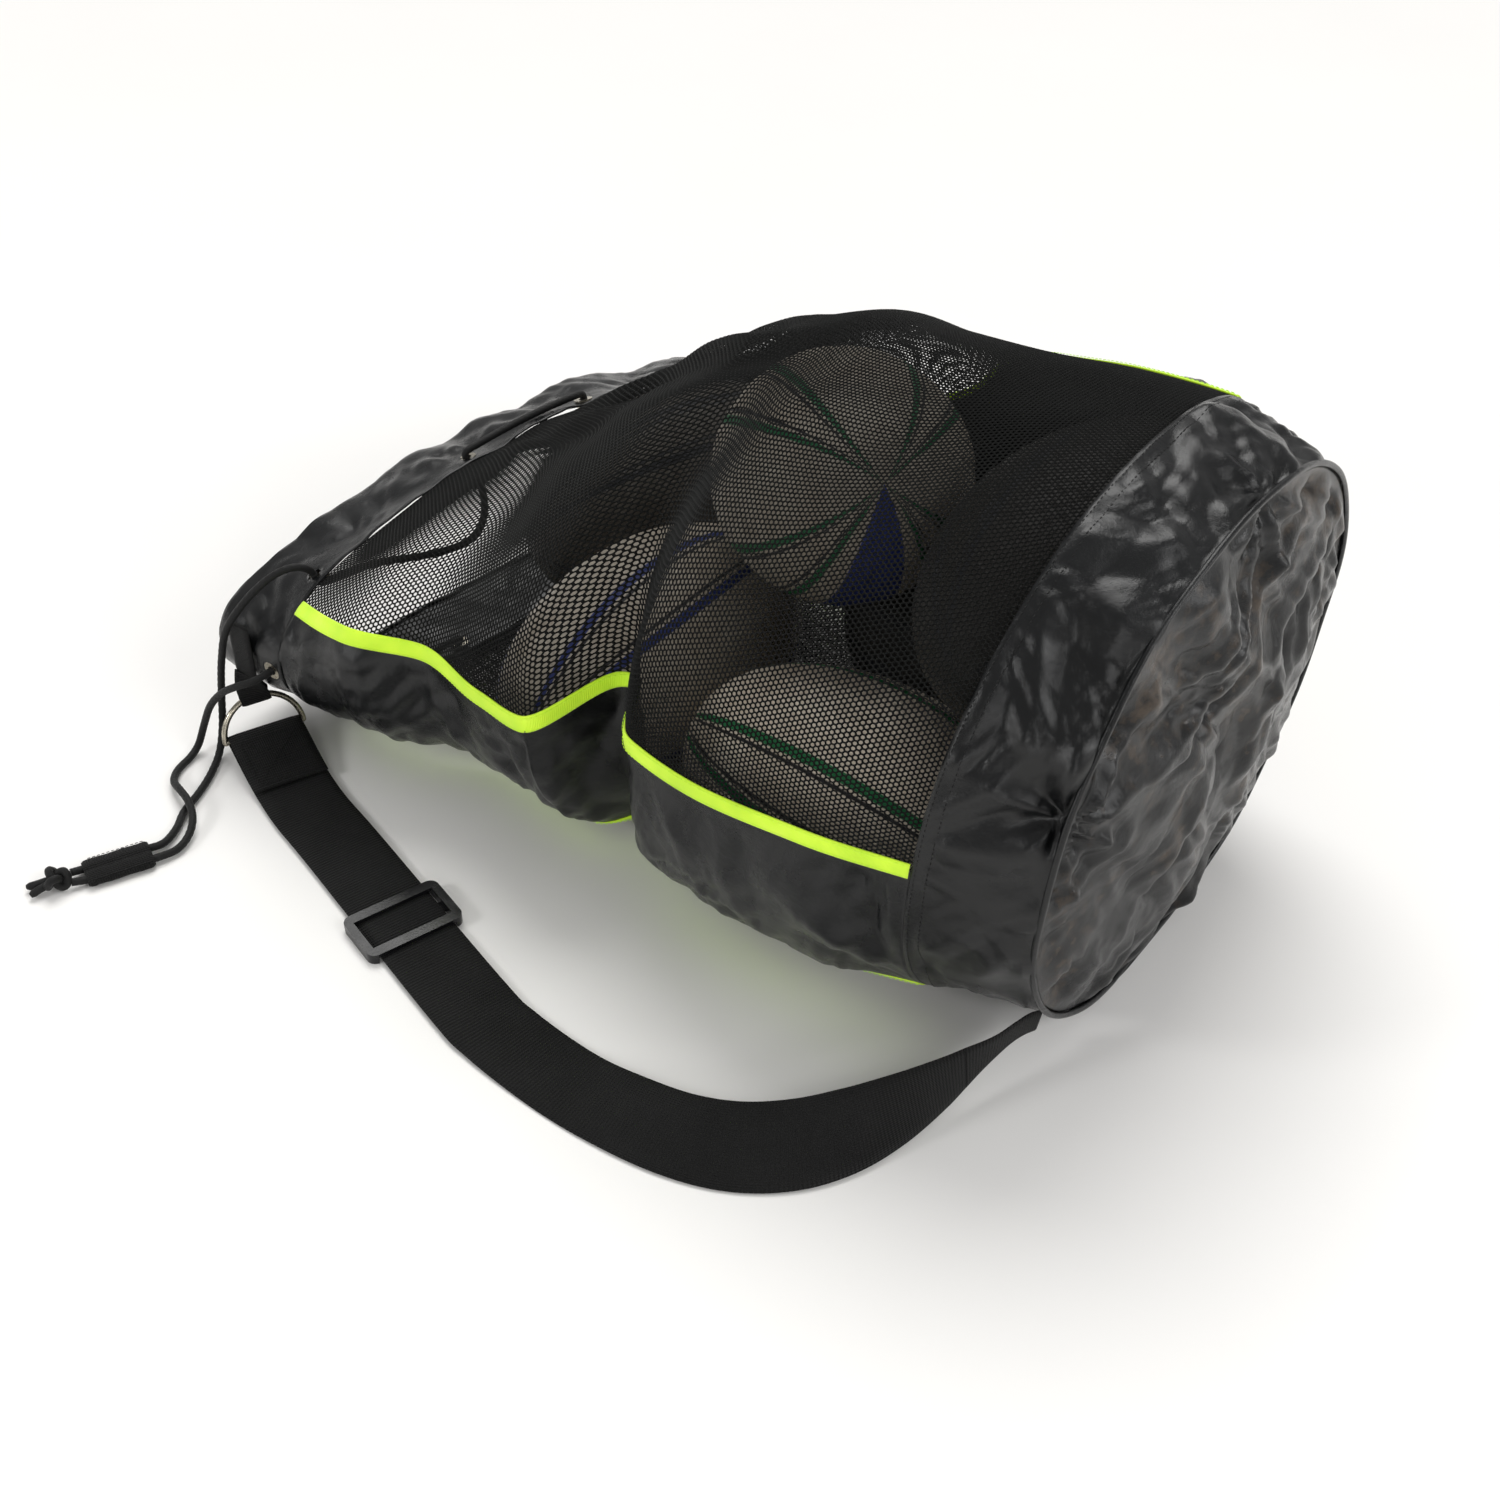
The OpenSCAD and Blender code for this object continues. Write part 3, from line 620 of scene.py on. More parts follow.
def nylon_material(name, dirt=0.0, base=(0.0035, 0.0038, 0.0042)):
    k = Nodes(name)
    c = k.coords()
    warp = k.tex("ShaderNodeTexNoise", c, 22, Detail=3.0)
    moved = k.add("ShaderNodeVectorMath", operation="MULTIPLY_ADD")
    k.link(warp.outputs["Color"], moved.inputs[0])
    moved.inputs[1].default_value = (0.03, 0.03, 0.03)
    k.link(c, moved.inputs[2])
    a = k.tex("ShaderNodeTexNoise", moved.outputs[0], 11, Detail=3.0, Roughness=0.45, Lacunarity=2.3)
    a.noise_type = "RIDGED_MULTIFRACTAL"
    fine = k.tex("ShaderNodeTexNoise", c, 130, Detail=5.0, Roughness=0.55)
    weave = k.tex("ShaderNodeTexNoise", k.mapped(c, (1, 1, 3)), 1500, Detail=1.0)
    n1 = k.bump(a.outputs["Fac"], 0.0025, 0.22)
    n2 = k.bump(fine.outputs["Fac"], 0.0016, 0.3, n1)
    n3 = k.bump(weave.outputs["Fac"], 0.0003, 0.4, n2)
    tone = k.tex("ShaderNodeTexNoise", c, 9, Detail=5.0, Roughness=0.65)
    dark = tuple(x * 0.7 for x in base)
    lighter = tuple(x * 1.9 for x in base)
    col = k.ramp(tone.outputs["Fac"], ((0.3, dark), (0.7, lighter)))
    if dirt:
        spot = k.tex("ShaderNodeTexNoise", c, 13, Detail=7.0, Roughness=0.7)
        grain = k.tex("ShaderNodeTexNoise", c, 150, Detail=3.0)
        mask = k.ramp(k.math("MULTIPLY", spot.outputs["Fac"], k.math("ADD", grain.outputs["Fac"], 0.55)),
                      ((0.56, (0, 0, 0)), (0.76, (dirt, dirt, dirt))))
        col = k.mix(mask, col, (0.075, 0.05, 0.03))
    rough = k.ramp(tone.outputs["Fac"], ((0.25, (0.2, 0.2, 0.2)), (0.75, (0.33, 0.33, 0.33))))
    return k.done(col, n3, rough, Specular_IOR_Level=0.36)


def grained(name, patches, grain, dark, light, relief, rough, top=0.7, **sockets):
    """A material in two tones with a fine grain; patches and grain are each a scale and a detail."""
    k = Nodes(name)
    c = k.coords()
    t = k.tex("ShaderNodeTexNoise", c, patches[0], Detail=patches[1])
    f = k.tex("ShaderNodeTexNoise", c, grain[0], Detail=grain[1])
    col = k.ramp(t.outputs["Fac"], ((0.3, dark), (top, light)))
    if isinstance(rough, tuple):
        rough = k.ramp(t.outputs["Fac"], ((0.3, (rough[0],) * 3), (0.7, (rough[1],) * 3)))
    return k.done(col, k.bump(f.outputs["Fac"], *relief), rough, **sockets)


def tape_material():
    k = Nodes("neon_tape")
    uv = k.coords(True)
    c = k.coords()
    w = k.tex("ShaderNodeTexWave", uv, 420, Distortion=0.5)
    t = k.tex("ShaderNodeTexNoise", c, 40, Detail=5.0)
    col = k.ramp(t.outputs["Fac"], ((0.25, (0.50, 0.80, 0.015)), (0.6, (0.66, 0.98, 0.03)),
                                    (0.85, (0.74, 1.0, 0.07))))
    # The tape's colour is also fed to emission: painted light, a glow on top of its lit colour.
    k.link(col, k.bsdf.inputs["Emission Color"])
    ribs = k.bump(w.outputs["Fac"], 0.0003, 0.6)
    return k.done(col, ribs, 0.6, Emission_Strength=0.14, Sheen_Weight=0.15)


def webbing_material(name, ribs=900.0, tone=0.005):
    k = Nodes(name)
    uv = k.coords(True)
    c = k.coords()
    across = k.tex("ShaderNodeTexWave", uv, ribs / 6.28)
    along = k.tex("ShaderNodeTexWave", uv, 1400 / 6.28)
    along.bands_direction = "Y"
    h = k.math("ADD", across.outputs["Fac"], k.math("MULTIPLY", along.outputs["Fac"], 0.6))
    fuzz = k.tex("ShaderNodeTexNoise", c, 1800, Detail=2.0)
    n1 = k.bump(h, 0.0009, 0.8)
    n2 = k.bump(fuzz.outputs["Fac"], 0.0003, 0.5, n1)
    t = k.tex("ShaderNodeTexNoise", c, 25, Detail=4.0)
    col = k.ramp(t.outputs["Fac"], ((0.3, (tone * 0.7,) * 3), (0.75, (tone * 1.8,) * 3)))
    return k.done(col, n2, 0.62, Specular_IOR_Level=0.2, Sheen_Weight=0.03)


def metal_material():
    k = Nodes("nickel_plate")
    c = k.coords()
    f = k.tex("ShaderNodeTexNoise", c, 500, Detail=4.0)
    t = k.tex("ShaderNodeTexNoise", c, 90, Detail=5.0)
    col = k.ramp(t.outputs["Fac"], ((0.3, (0.30, 0.27, 0.21)), (0.7, (0.56, 0.52, 0.43))))
    rough = k.ramp(f.outputs["Fac"], ((0.3, (0.2, 0.2, 0.2)), (0.8, (0.42, 0.42, 0.42))))
    return k.done(col, k.bump(f.outputs["Fac"], 0.0002, 0.3), rough, Metallic=1.0)


def ball_material(name, band, wedge, wedge_col, tone=1.0):
    """Pimpled rubber in cream, with coloured bands beside the seams; tone scales the cream as painted light
    and shade, above 1 where the ball is lit and below 1 where it lies in shade. UV: u along, v round.
    """
    k = Nodes(name)
    uv = k.coords(True)
    c = k.coords()
    sep = k.add("ShaderNodeSeparateXYZ")
    k.link(uv, sep.inputs[0])
    u, v = sep.outputs[0], sep.outputs[1]
    stain = k.tex("ShaderNodeTexNoise", c, 18, Detail=6.0, Roughness=0.65)
    # The cream is multiplied by tone, so it carries painted light and shade as well as the rubber's own
    # colour.
    cream = k.ramp(stain.outputs["Fac"], ((0.3, (0.60 * tone, 0.50 * tone, 0.39 * tone)),
                                           (0.65, (0.88 * tone, 0.80 * tone, 0.68 * tone))))
    quarter = k.math("FRACT", k.math("MULTIPLY", v, 4.0), 0.0)
    near = k.math("ABSOLUTE", k.math("SUBTRACT", quarter, 0.5), 0.0)
    from_middle = k.math("ABSOLUTE", k.math("SUBTRACT", k.math("MULTIPLY", u, 2.0), 1.0), 0.0)
    edge = k.math("SUBTRACT", near, k.math("MULTIPLY", k.math("POWER", from_middle, 2.0), 0.1))
    col = cream
    for lo, hi, stripe in ((0.3, 0.356, band), (0.372, 0.396, (0.012, 0.013, 0.016))):
        inside = k.ramp(edge, ((lo, (0, 0, 0)), (lo + 0.004, (1, 1, 1)),
                               (hi - 0.004, (1, 1, 1)), (hi, (0, 0, 0))))
        col = k.mix(inside, col, stripe)
    panel = k.math("FLOOR", k.math("MULTIPLY", v, 4.0), 0.0)
    one = k.math("COMPARE", panel, float(wedge))
    one.node.inputs[2].default_value = 0.1
    part = k.ramp(edge, ((0.17, (1, 1, 1)), (0.175, (0, 0, 0))))
    half = k.ramp(u, ((0.52, (0, 0, 0)), (0.525, (1, 1, 1))))
    mask = k.math("MULTIPLY", k.math("MULTIPLY", one, part), half)
    col = k.mix(mask, col, wedge_col)
    dots = k.tex("ShaderNodeTexVoronoi", c, 520)
    pim = k.ramp(dots.outputs["Distance"], ((0.1, (1, 1, 1)), (0.5, (0, 0, 0))))
    return k.done(col, k.bump(pim, 0.0006, 0.8), 0.55, Specular_IOR_Level=0.4)


NYLON, NYLON_BASE = nylon_material("nylon"), nylon_material("nylon_worn", dirt=0.55)
TAPE, METAL = tape_material(), metal_material()
MESH = grained("knitted_mesh", (14, 4.0), (2200, 2.0), (0.0025, 0.0028, 0.0025), (0.006, 0.0065, 0.006),
               (0.0004, 0.6), 0.6, Specular_IOR_Level=0.2)
CORD = grained("braided_cord", (60, 3.0), (2600, 2.0), (0.004, 0.004, 0.004), (0.01, 0.01, 0.01),
               (0.0004, 0.6), 0.6, top=0.75, Specular_IOR_Level=0.25, Sheen_Weight=0.04)
PLASTIC = grained("black_plastic", (60, 5.0), (900, 3.0), (0.004, 0.004, 0.005), (0.009, 0.009, 0.01),
                  (0.0002, 0.35), (0.16, 0.28), Specular_IOR_Level=0.32)
FLOOR = grained("studio_floor", (3, 4.0), (300, 3.0), (0.90, 0.89, 0.875), (0.915, 0.905, 0.89),
                (0.0002, 0.05), 0.8)
WEB, TABWEB = webbing_material("ribbed_webbing"), webbing_material("tab_webbing", ribs=1300.0, tone=0.004)
THREAD = webbing_material("thread", ribs=2500.0, tone=0.008)


def dress(o, mat, body="bag", node=None):
    """Gives a piece its material, slot and body, and the CAD node that it stands for."""
    o.data.materials.clear()
    o.data.materials.append(mat)
    if body:
        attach(o, body)
    if node:
        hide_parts(node)
    return o


# ---- cords, first of all
def linear(xs, ys):
    return lambda x: np.interp(x, xs, ys)


LINEAR = [linear(SECTIONS[:, 0], SECTIONS[:, k]) for k in range(13)]
EYELET_X, EYELETS = -298, [12, 51, 125, 167, 199, 242, 318, 357]


def eye_p(i):
    """The middle of an eyelet; eye_n points out of the collar there."""
    return (skin(EYELET_X, EYELETS[i], 0, LINEAR) + skin(EYELET_X, EYELETS[i], 2, LINEAR)) / 2


def eye_n(i):
    a = EYELETS[i]
    p = skin(EYELET_X, a + 0.5, 0, LINEAR) - skin(EYELET_X, a - 0.5, 0, LINEAR)
    q = skin(EYELET_X + 2, a, 0, LINEAR) - skin(EYELET_X - 2, a, 0, LINEAR)
    v = np.cross(q, p)
    return v / np.linalg.norm(v)


def span(i, side, off, sag):
    """The cord from eyelet i to the next: side 1 is outside the collar, -1 inside it."""
    a, b = EYELETS[i], EYELETS[i + 1]
    mid = [skin(EYELET_X, a + (b - a) * f, -off if side > 0 else off + 2, LINEAR)
           + np.array(sag) * math.sin(math.pi * f) for f in (0.12, 0.3, 0.5, 0.7, 0.88)]
    return [eye_p(i) + eye_n(i) * side * 5.4] + mid + [eye_p(i + 1) + eye_n(i + 1) * side * 5.4]


def under(i):
    """The cord between two eyelets that lie on the floor, under the collar."""
    p, q = eye_p(i), eye_p(i + 1)
    return [(p[0], p[1], 6.2), (p[0], p[1] - 2.2, 4.2), (p[0] - 0.5, p[1] - 8, 3.1),
            (p[0] - 2, p[1] - 40, 2.9), ((p[0] + q[0]) / 2, (p[1] + q[1]) / 2, 2.8),
            (q[0] + 2, q[1] + 40, 2.9), (q[0] + 0.5, q[1] + 8, 3.1), (q[0], q[1] + 2.2, 4.2),
            (q[0], q[1], 6.2)]


DRAW = ([eye_p(0) + eye_n(0) * 3, eye_p(0)] + span(0, -1, 7, (34, 4, -22))
        + [eye_p(1)] + span(1, 1, 6.2, (0, 0, 0)) + [eye_p(2)] + span(2, -1, 6, (4, 0, 0))
        + [eye_p(3)] + span(3, 1, 6.2, (0, 0, 0)) + [eye_p(4)] + span(4, -1, 6, (4, 0, 0))
        + [eye_p(5)] + under(5) + [eye_p(6)] + span(6, -1, 6, (4, 0, 0))
        + [eye_p(7), eye_p(7) + eye_n(7) * 3])
LONG_TAIL = [(-310.5, -168, 124.6), (-311.4, -170, 128.6), (-315, -178, 133), (-322, -190, 130),
             (-331, -206, 117), (-341, -220, 95), (-347, -224.5, 70), (-351, -227, 44),
             (-350, -232, 20), (-344, -242, 5.4), (-333, -258, 2.9), (-323, -276, 2.9),
             (-315, -295, 2.9), (-305.5, -308, 3.2), (-299.9, -322, 3.7), (-303.1, -330.9, 3.8),
             (-307, -340.5, 3.8), (-315, -360, 3.8), (-319.1, -369.8, 3.8), (-321, -377, 5)]
SHORT_TAIL = [(-312.5, -212, 70.1), (-312.8, -217, 69.7), (-315, -226, 68.5), (-324, -233, 64),
              (-337, -236, 54), (-349, -239, 39), (-357, -242, 20), (-359, -248, 6),
              (-356, -258, 2.9), (-352, -271, 3.0), (-343, -281, 4.6), (-329, -286, 8.4),
              (-315, -290, 9.2), (-302, -297, 6.6), (-293, -308, 4.2), (-288.6, -321, 3.8),
              (-292.9, -335.1, 3.8), (-297, -345, 3.8), (-305, -364.5, 3.8), (-309, -374, 3.8),
              (-313.5, -382, 5)]


def soften(q, times):
    """Evens out a line without moving its ends."""
    q = q.copy()
    for _ in range(times):
        q[1:-1] = 0.25 * q[:-2] + 0.5 * q[1:-1] + 0.25 * q[2:]
    return q


CORD_R = 2.5


def cord_piece(name, node, points):
    q = soften(curve_through(points, 1.0), 14)
    q[:, 2] = np.maximum(q[:, 2], CORD_R + 0.25)
    return dress(tube(name, q, CORD_R, 24, braid=0.05, lay=10), CORD, node=node), q


draw, draw_line = cord_piece("draw_cord", "drawcord", DRAW)
tail_a, line_a = cord_piece("tail_long", "cord_tail_long", LONG_TAIL)
tail_b, line_b = cord_piece("tail_short", "cord_tail_short", SHORT_TAIL)

def about_z(deg):
    c, s = math.cos(math.radians(deg)), math.sin(math.radians(deg))
    return np.array([[c, -s, 0], [s, c, 0], [0, 0, 1]])


# Overhand knot in both tails, and their two melted ends
KNOT = np.array([-320, -387.5, 8.4])
t = np.linspace(0, 2 * np.pi, 120)[:-1]
loop = np.stack([np.sin(t) + 2 * np.sin(2 * t), np.cos(t) - 2 * np.cos(2 * t), -1.5 * np.sin(3 * t)], 1)
loop = loop * np.array([2.35, 2.35, 2.6])
loop = loop @ about_z(-112).T + KNOT + (0, 0, -0.4)
knot = tube("knot", np.vstack([loop, loop[:2]]), CORD_R + 0.05, 24, braid=0.05, lay=10)
dress(knot, CORD, node="cord_knot")
for i, e in enumerate(((-332.5, -401.5, 3.2), (-324.5, -404.5, 3.2))):
    q = curve_through([KNOT + (i * 3 - 2, 3, -2), 0.45 * KNOT + 0.55 * np.array(e), e], 1.0)
    q[:, 2] = np.maximum(q[:, 2], 2.9)
    dress(tube(f"cord_end_{i + 1}", q, CORD_R, 24, braid=0.05, lay=10,
                           taper=lambda f: np.where(f > 0.9, 1 - (f - 0.9) * 3.2, 1.0)), CORD)

# ---- nylon panels
FRONT = Cloth(ROW_C, ROW_B, *COL0["front"])
TOP = Cloth(ROW_C, ROW_B, *COL0["top"])
BACK = Cloth(ROW_C, ROW_B, *COL0["back"])
UNDER = Cloth(ROW_C, ROW_B, *COL0["under"])
COL = Cloth(0, ROW_C, 0, NCOL, closed=True)
BANDC = Cloth(ROW_B, len(STEPS) - 1, 0, NCOL, closed=True)


def fade(u, lo, hi):
    """0 at both edges and 1 between them."""
    return np.clip(u / lo, 0, 1) * np.clip((1 - u) / hi, 0, 1)


def floor_fade(p):
    """0 on the floor, where the cloth lies flat, and 1 above it."""
    return np.clip(p[..., 2] / 14, 0, 1)


def strip_creases(seed):
    def extra(p, u, v):
        e = np.clip((np.minimum(v, 1 - v) * 135 - 6) / 13, 0, 1)
        lean = np.stack([p[..., 0] * 1.5, p[..., 1], p[..., 2] * 0.8], -1)
        return (crumple(lean, seed) * e * fade(u, 0.01, 0.02)
                * floor_fade(p))
    return extra


def collar_creases(p, u, v):
    e = np.ones_like(u)
    for i in range(8):
        d = np.linalg.norm(p - eye_p(i), axis=-1)
        e = e * np.clip((d - 9) / 16, 0, 1)
    ripple = 1.6 * np.sin(v * 230 + 6 * noise(p, 40, 5)) * np.exp(-((u - 0.42) / 0.16) ** 2)
    return (crumple(p, 31, 0.06) + ripple) * e * np.clip(p[..., 2] / 18, 0, 1)


# Where the base seam is pulled in
PIN_A, PIN_B = (241, -148, 214), (237, 24, 318)


def band_creases(p, u, v):
    deg = np.degrees(np.arctan2(p[..., 2] - 160, -(p[..., 1] - 5)))
    radiate = np.sin(np.radians(deg) * 26 + 4 * noise(p, 50, 3)) * np.exp(-((u - 1) / 0.5) ** 2)
    h = crumple(p, 47, 0.1, 1.3) + 1.4 * radiate
    h = h + pinch(p, PIN_A, (1, 0, 0), (0, 0.4, 1), 15, 38, 5, 0.6)
    h = h + pinch(p, PIN_B, (1, 0, 0), (0, 1, 0), 11, 34, 5, 2)
    return h * fade(u, 0.1, 0.05) * floor_fade(p)


front = sheet_piece("front_panel", FRONT, 2.4, 0.0006, strip_creases(11))
dress(front, NYLON, node="front_strip")
back = sheet_piece("back_panel", BACK, 2.6, 0.0006, strip_creases(17))
dress(back, NYLON, node="back_strip")
collar = sheet_piece("collar_nylon", COL, 2.4, 0.0, collar_creases)


def punch(bm):
    """Opens the collar at each eyelet."""
    eyes = [Vector(m(eye_p(i))) for i in range(len(EYELETS))]
    gone = [f for f in bm.faces if min((f.calc_center_median() - e).length for e in eyes) < 0.0042]
    bmesh.ops.delete(bm, geom=gone, context="FACES")


weld(collar, 1e-5, punch)
solid(collar, 0.0014)
dress(collar, NYLON, node="collar")
band = sheet_piece("base_band_nylon", BANDC, 2.4, 0.0006, band_creases)
dress(band, NYLON, node="base_band")

# The base: a round panel sewn in at the rim, puffed out and crumpled
RIM_N, RIM_R = 400, 100
deg = -180 + 360 * (np.arange(RIM_N) + 0.5) / RIM_N
edge = skin(BASE - 2, deg, 2.0)
mid = np.array([BASE - 2 + 8.0, 4, 159])
f = 1 - np.arange(RIM_R) / (RIM_R - 0.4)
pb = mid + (edge[None] - mid) * f[:, None, None]
puff = 22 * (1 - f ** 2.2)
pb[..., 0] += puff[:, None]
wr = crumple(pb, 71, 0.13, 1.3) + pinch(pb, PIN_A, (0, 1, -0.4), (0, 0.4, 1), 14, 64, 9, 1.2)
wr = wr + pinch(pb, PIN_B, (0, 0, -1), (0, 1, 0), 11, 55, 9, 0.4)
rad = np.sin(np.radians(deg) * 17 + 1)[None] * np.exp(-((f - 1) / 0.2) ** 2)[:, None]
pb[..., 0] += (wr + 3 * rad) * np.clip((1 - f) / 0.07, 0, 1)[:, None]
pb[..., 0] = np.minimum(pb[..., 0], BASE + 34)
fb = quads(RIM_R, RIM_N, True).tolist()
fb.append([(RIM_R - 1) * RIM_N + i for i in range(RIM_N)][::-1])
base = new_object("base_nylon", m(pb.reshape(-1, 3)), fb)
solid(base, 0.0006, 1.0)
dress(base, NYLON_BASE, node="base_panel")

# Welt where the base is sewn in: the seam allowance stands up as a soft roll
q = skin(BASE - 1, np.append(deg, deg[0] + 360), -0.4)
q = q + np.stack([0.5 * np.sin(np.radians(deg * 5)) + 0.4 * np.sin(np.radians(deg * 11 + 40))] * 3, -1)[
    np.append(np.arange(RIM_N), 0)] * np.array([1, 0.1, 0.1])
q[:, 2] = np.maximum(q[:, 2], 3.4)
dress(tube("base_welt", q, 1.9, 12), NYLON, node="base_seam_binding")

# ---- mesh panels
for nm, cloth, cuts, node in (("top_net", TOP, (0, 0.34, 0.67, 1), "top_mesh"),
                              ("under_net", UNDER, (0, 0.5, 1), "under_mesh")):
    for i in range(len(cuts) - 1):
        o, long, wide = lattice(f"{nm}_{i + 1}", cloth, cuts[i], cuts[i + 1])
        dress(o, MESH, node=node)

# ---- bindings, hems and stitching
seam_lines = []


def seam_tape(name, left, right, node):
    """Binding tape over the seam between two panels; it rides up and down with the cloth."""
    n, half = 260, 5.6
    u, across = np.linspace(0.002, 0.998, n), np.linspace(-half, half, 9)
    cols = []
    for w in across:
        c, v = (left, 1 + w / left.wide) if w < 0 else (right, w / right.wide)
        lift = 1.5 - 0.5 * (w / half) ** 2
        cols.append(c.at(u, np.full(n, v), np.full(n, lift))[0])
    p = soften(np.stack(cols, 1), 3)
    p[..., 2] = np.maximum(p[..., 2], 1.6)
    o = new_object(name, m(p.reshape(-1, 3)), facing_out(n, 9))
    set_uv(o, np.linspace(0, left.long, n)[:, None] / 1000, across[None] / 1000)
    solid(o, 0.0009, 1.0)
    dress(o, TAPE, node=node)
    nn = normals(p)
    if FLIP:
        nn = -nn
    for c in (1, 7):
        seam_lines.append((p[:, c] + nn[:, c] * 0.55, nn[:, c]))


seam_tape("tape_front_upper", FRONT, TOP, "front_upper_binding")
seam_tape("tape_back_upper", TOP, BACK, "back_upper_binding")
seam_tape("tape_back_lower", BACK, UNDER, "back_lower_binding")
seam_tape("tape_front_lower", UNDER, FRONT, "front_lower_binding")
dress(stitches("tape_stitching", seam_lines, 3.2, 2.4, 0.26), TAPE)

around = []
v = np.linspace(0, 1, 500)
for cloth, creases, off, places in ((BANDC, band_creases, 0.5, (0.03, 0.12)),
                                    (COL, collar_creases, 0.4, (0.05, 0.42, 0.92))):
    for u0 in places:
        u = np.full(500, u0)
        p, nn = cloth.at(u, v, off)
        around.append((p + nn * creases(p, u, v)[:, None], nn))
dress(stitches("panel_stitching", around), THREAD)

# Mouth hem: the turned edge of the collar, as a soft roll
v = np.linspace(0, 1, 420)
p, nn = COL.at(np.full(420, 0.0), v, -0.8)
p = p + nn * (collar_creases(p, np.zeros(420), v))[:, None]
dress(tube("mouth_hem", p, 1.5, 10), NYLON, node="collar_hem")

# ---- balls
# Each tone multiplies the ball's cream as painted light and shade: 1.12 is the lit front ball, 0.62 and 0.5
# shade the middle and top balls, and the mouth, rear and base balls are painted near black as shade, with
# their bands and wedges darkened too.
BALL_MATS = {
    "green_a": ball_material("ball_green", (0.01, 0.2, 0.06), 1, (0.62, 0.52, 0.42), 1.12),
    "green_b": ball_material("ball_green_blue", (0.01, 0.11, 0.04), 2, (0.015, 0.03, 0.17), 0.5),
    "blue": ball_material("ball_blue", (0.015, 0.03, 0.16), 1, (0.02, 0.04, 0.20), 0.62),
    "mouth_shade": ball_material("ball_mouth_shade", (0.015, 0.016, 0.02), 0, (0.02, 0.05, 0.10), 0.1),
    "dark": ball_material("ball_deep_shade", (0.01, 0.011, 0.014), 0, (0.01, 0.02, 0.03), 0.02)}


def ball(name, centre, axis, roll, mat):
    nu, nv = 72, 96
    t = np.linspace(-90, 90, nu)
    a = np.arange(nv + 1) / nv
    groove = 1 - 0.012 * np.exp(-((1 - abs(((a * 4 + 0.5) % 1) - 0.5) * 2) / 0.05) ** 2)
    flat = 1 - 0.012 * (1 - abs(np.sin(a * 4 * np.pi)))
    r = (BALL_ROUND - 0.2) * np.cos(np.radians(t))[:, None] * (groove * flat)[None]
    x = (BALL_LONG - 0.2) * np.sin(np.radians(t))
    ax = np.array(axis, float)
    ax /= np.linalg.norm(ax)
    s = np.cross(ax, [0, 0, 1])
    s /= np.linalg.norm(s)
    w = np.cross(ax, s)
    th = 2 * np.pi * (a + roll)
    p = (np.array(centre, float) + ax * x[:, None, None]
         + r[..., None] * (s * np.cos(th)[None, :, None] + w * np.sin(th)[None, :, None]))
    o = new_object(name + "_skin", m(p.reshape(-1, 3)), quads(nu, nv + 1))
    set_uv(o, ((t + 90) / 180)[:, None], a[None])
    weld(o, 2e-5, lambda bm: bmesh.ops.recalc_face_normals(bm, faces=bm.faces))
    dress(o, BALL_MATS[mat], node=name)


for b in BALLS:
    ball(*b)

# ---- shoulder strap
STRAP = [
    [-281, -232.5, 7.2, -20.7, 187, 0, 25], [-296, -226.8, 9.2, -20.7, 191, 0, 25],
    [-312, -220.8, 13.0, -20.7, 192, 0, 25], [-322, -217.0, 14.9, -20.7, 187, 0, 25],
    [-330, -214.0, 15.2, -20.7, 180, 0, 25], [-332.1, -213.2, 14.3, -20.7, 225, 0, 25],
    [-333.0, -212.9, 12.0, -20.7, 270, 0, 25], [-332.1, -213.2, 9.7, -20.7, 315, 0, 25],
    [-330, -214.0, 8.8, -20.7, 360, 0, 25], [-318, -218.6, 7.4, -20.7, 352, 0, 25],
    [-300, -225.4, 5.2, -20.7, 354, 0, 25], [-276, -234.0, 3.4, -19, 357, 0, 25],
    [-250, -242.0, 3.1, -16, 360, 0, 25], [-204, -253.2, 3.1, -14.5, 360, 0, 25],
    [-58, -290.9, 3.1, -14.5, 360, 0, 25], [-20, -297.5, 2.4, -6, 359, 0, 25],
    [30, -299.0, 2.0, 0, 360, 2, 25], [70, -296.5, 5.0, 6, 363, 8, 25],
    [108, -290.0, 8.2, 14, 364, 15, 25], [140, -278.5, 12.4, 26, 366, 26, 24.8],
    [166, -260.0, 17.0, 42, 368, 38, 24.2], [184, -236.0, 20.2, 57, 365, 50, 23],
    [196, -208.0, 21.6, 68, 364, 62, 20.5], [204, -180.0, 22.6, 74, 366, 74, 17],
    [208, -164.0, 24.6, 77, 370, 82, 14.5]]
strap, strap_rows = ribbon("shoulder_strap", STRAP, 1.6)
dress(strap, WEB, "strap", "strap_webbing")
ROOT = [[208, -164.0, 24.6, 77, 370, 82, 14.5], [213, -145.0, 27.6, 78, 371, 94, 11.5],
        [216, -130.0, 30.0, 78, 362, 98, 10.5], [218, -119.0, 29.6, 78, 352, 99, 10.5],
        [219.5, -109.0, 25.6, 78, 338, 100, 10]]
root, _ = ribbon("strap_root", ROOT, 1.9)
dress(root, WEB, None)
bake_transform(root)
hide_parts("strap_anchor")


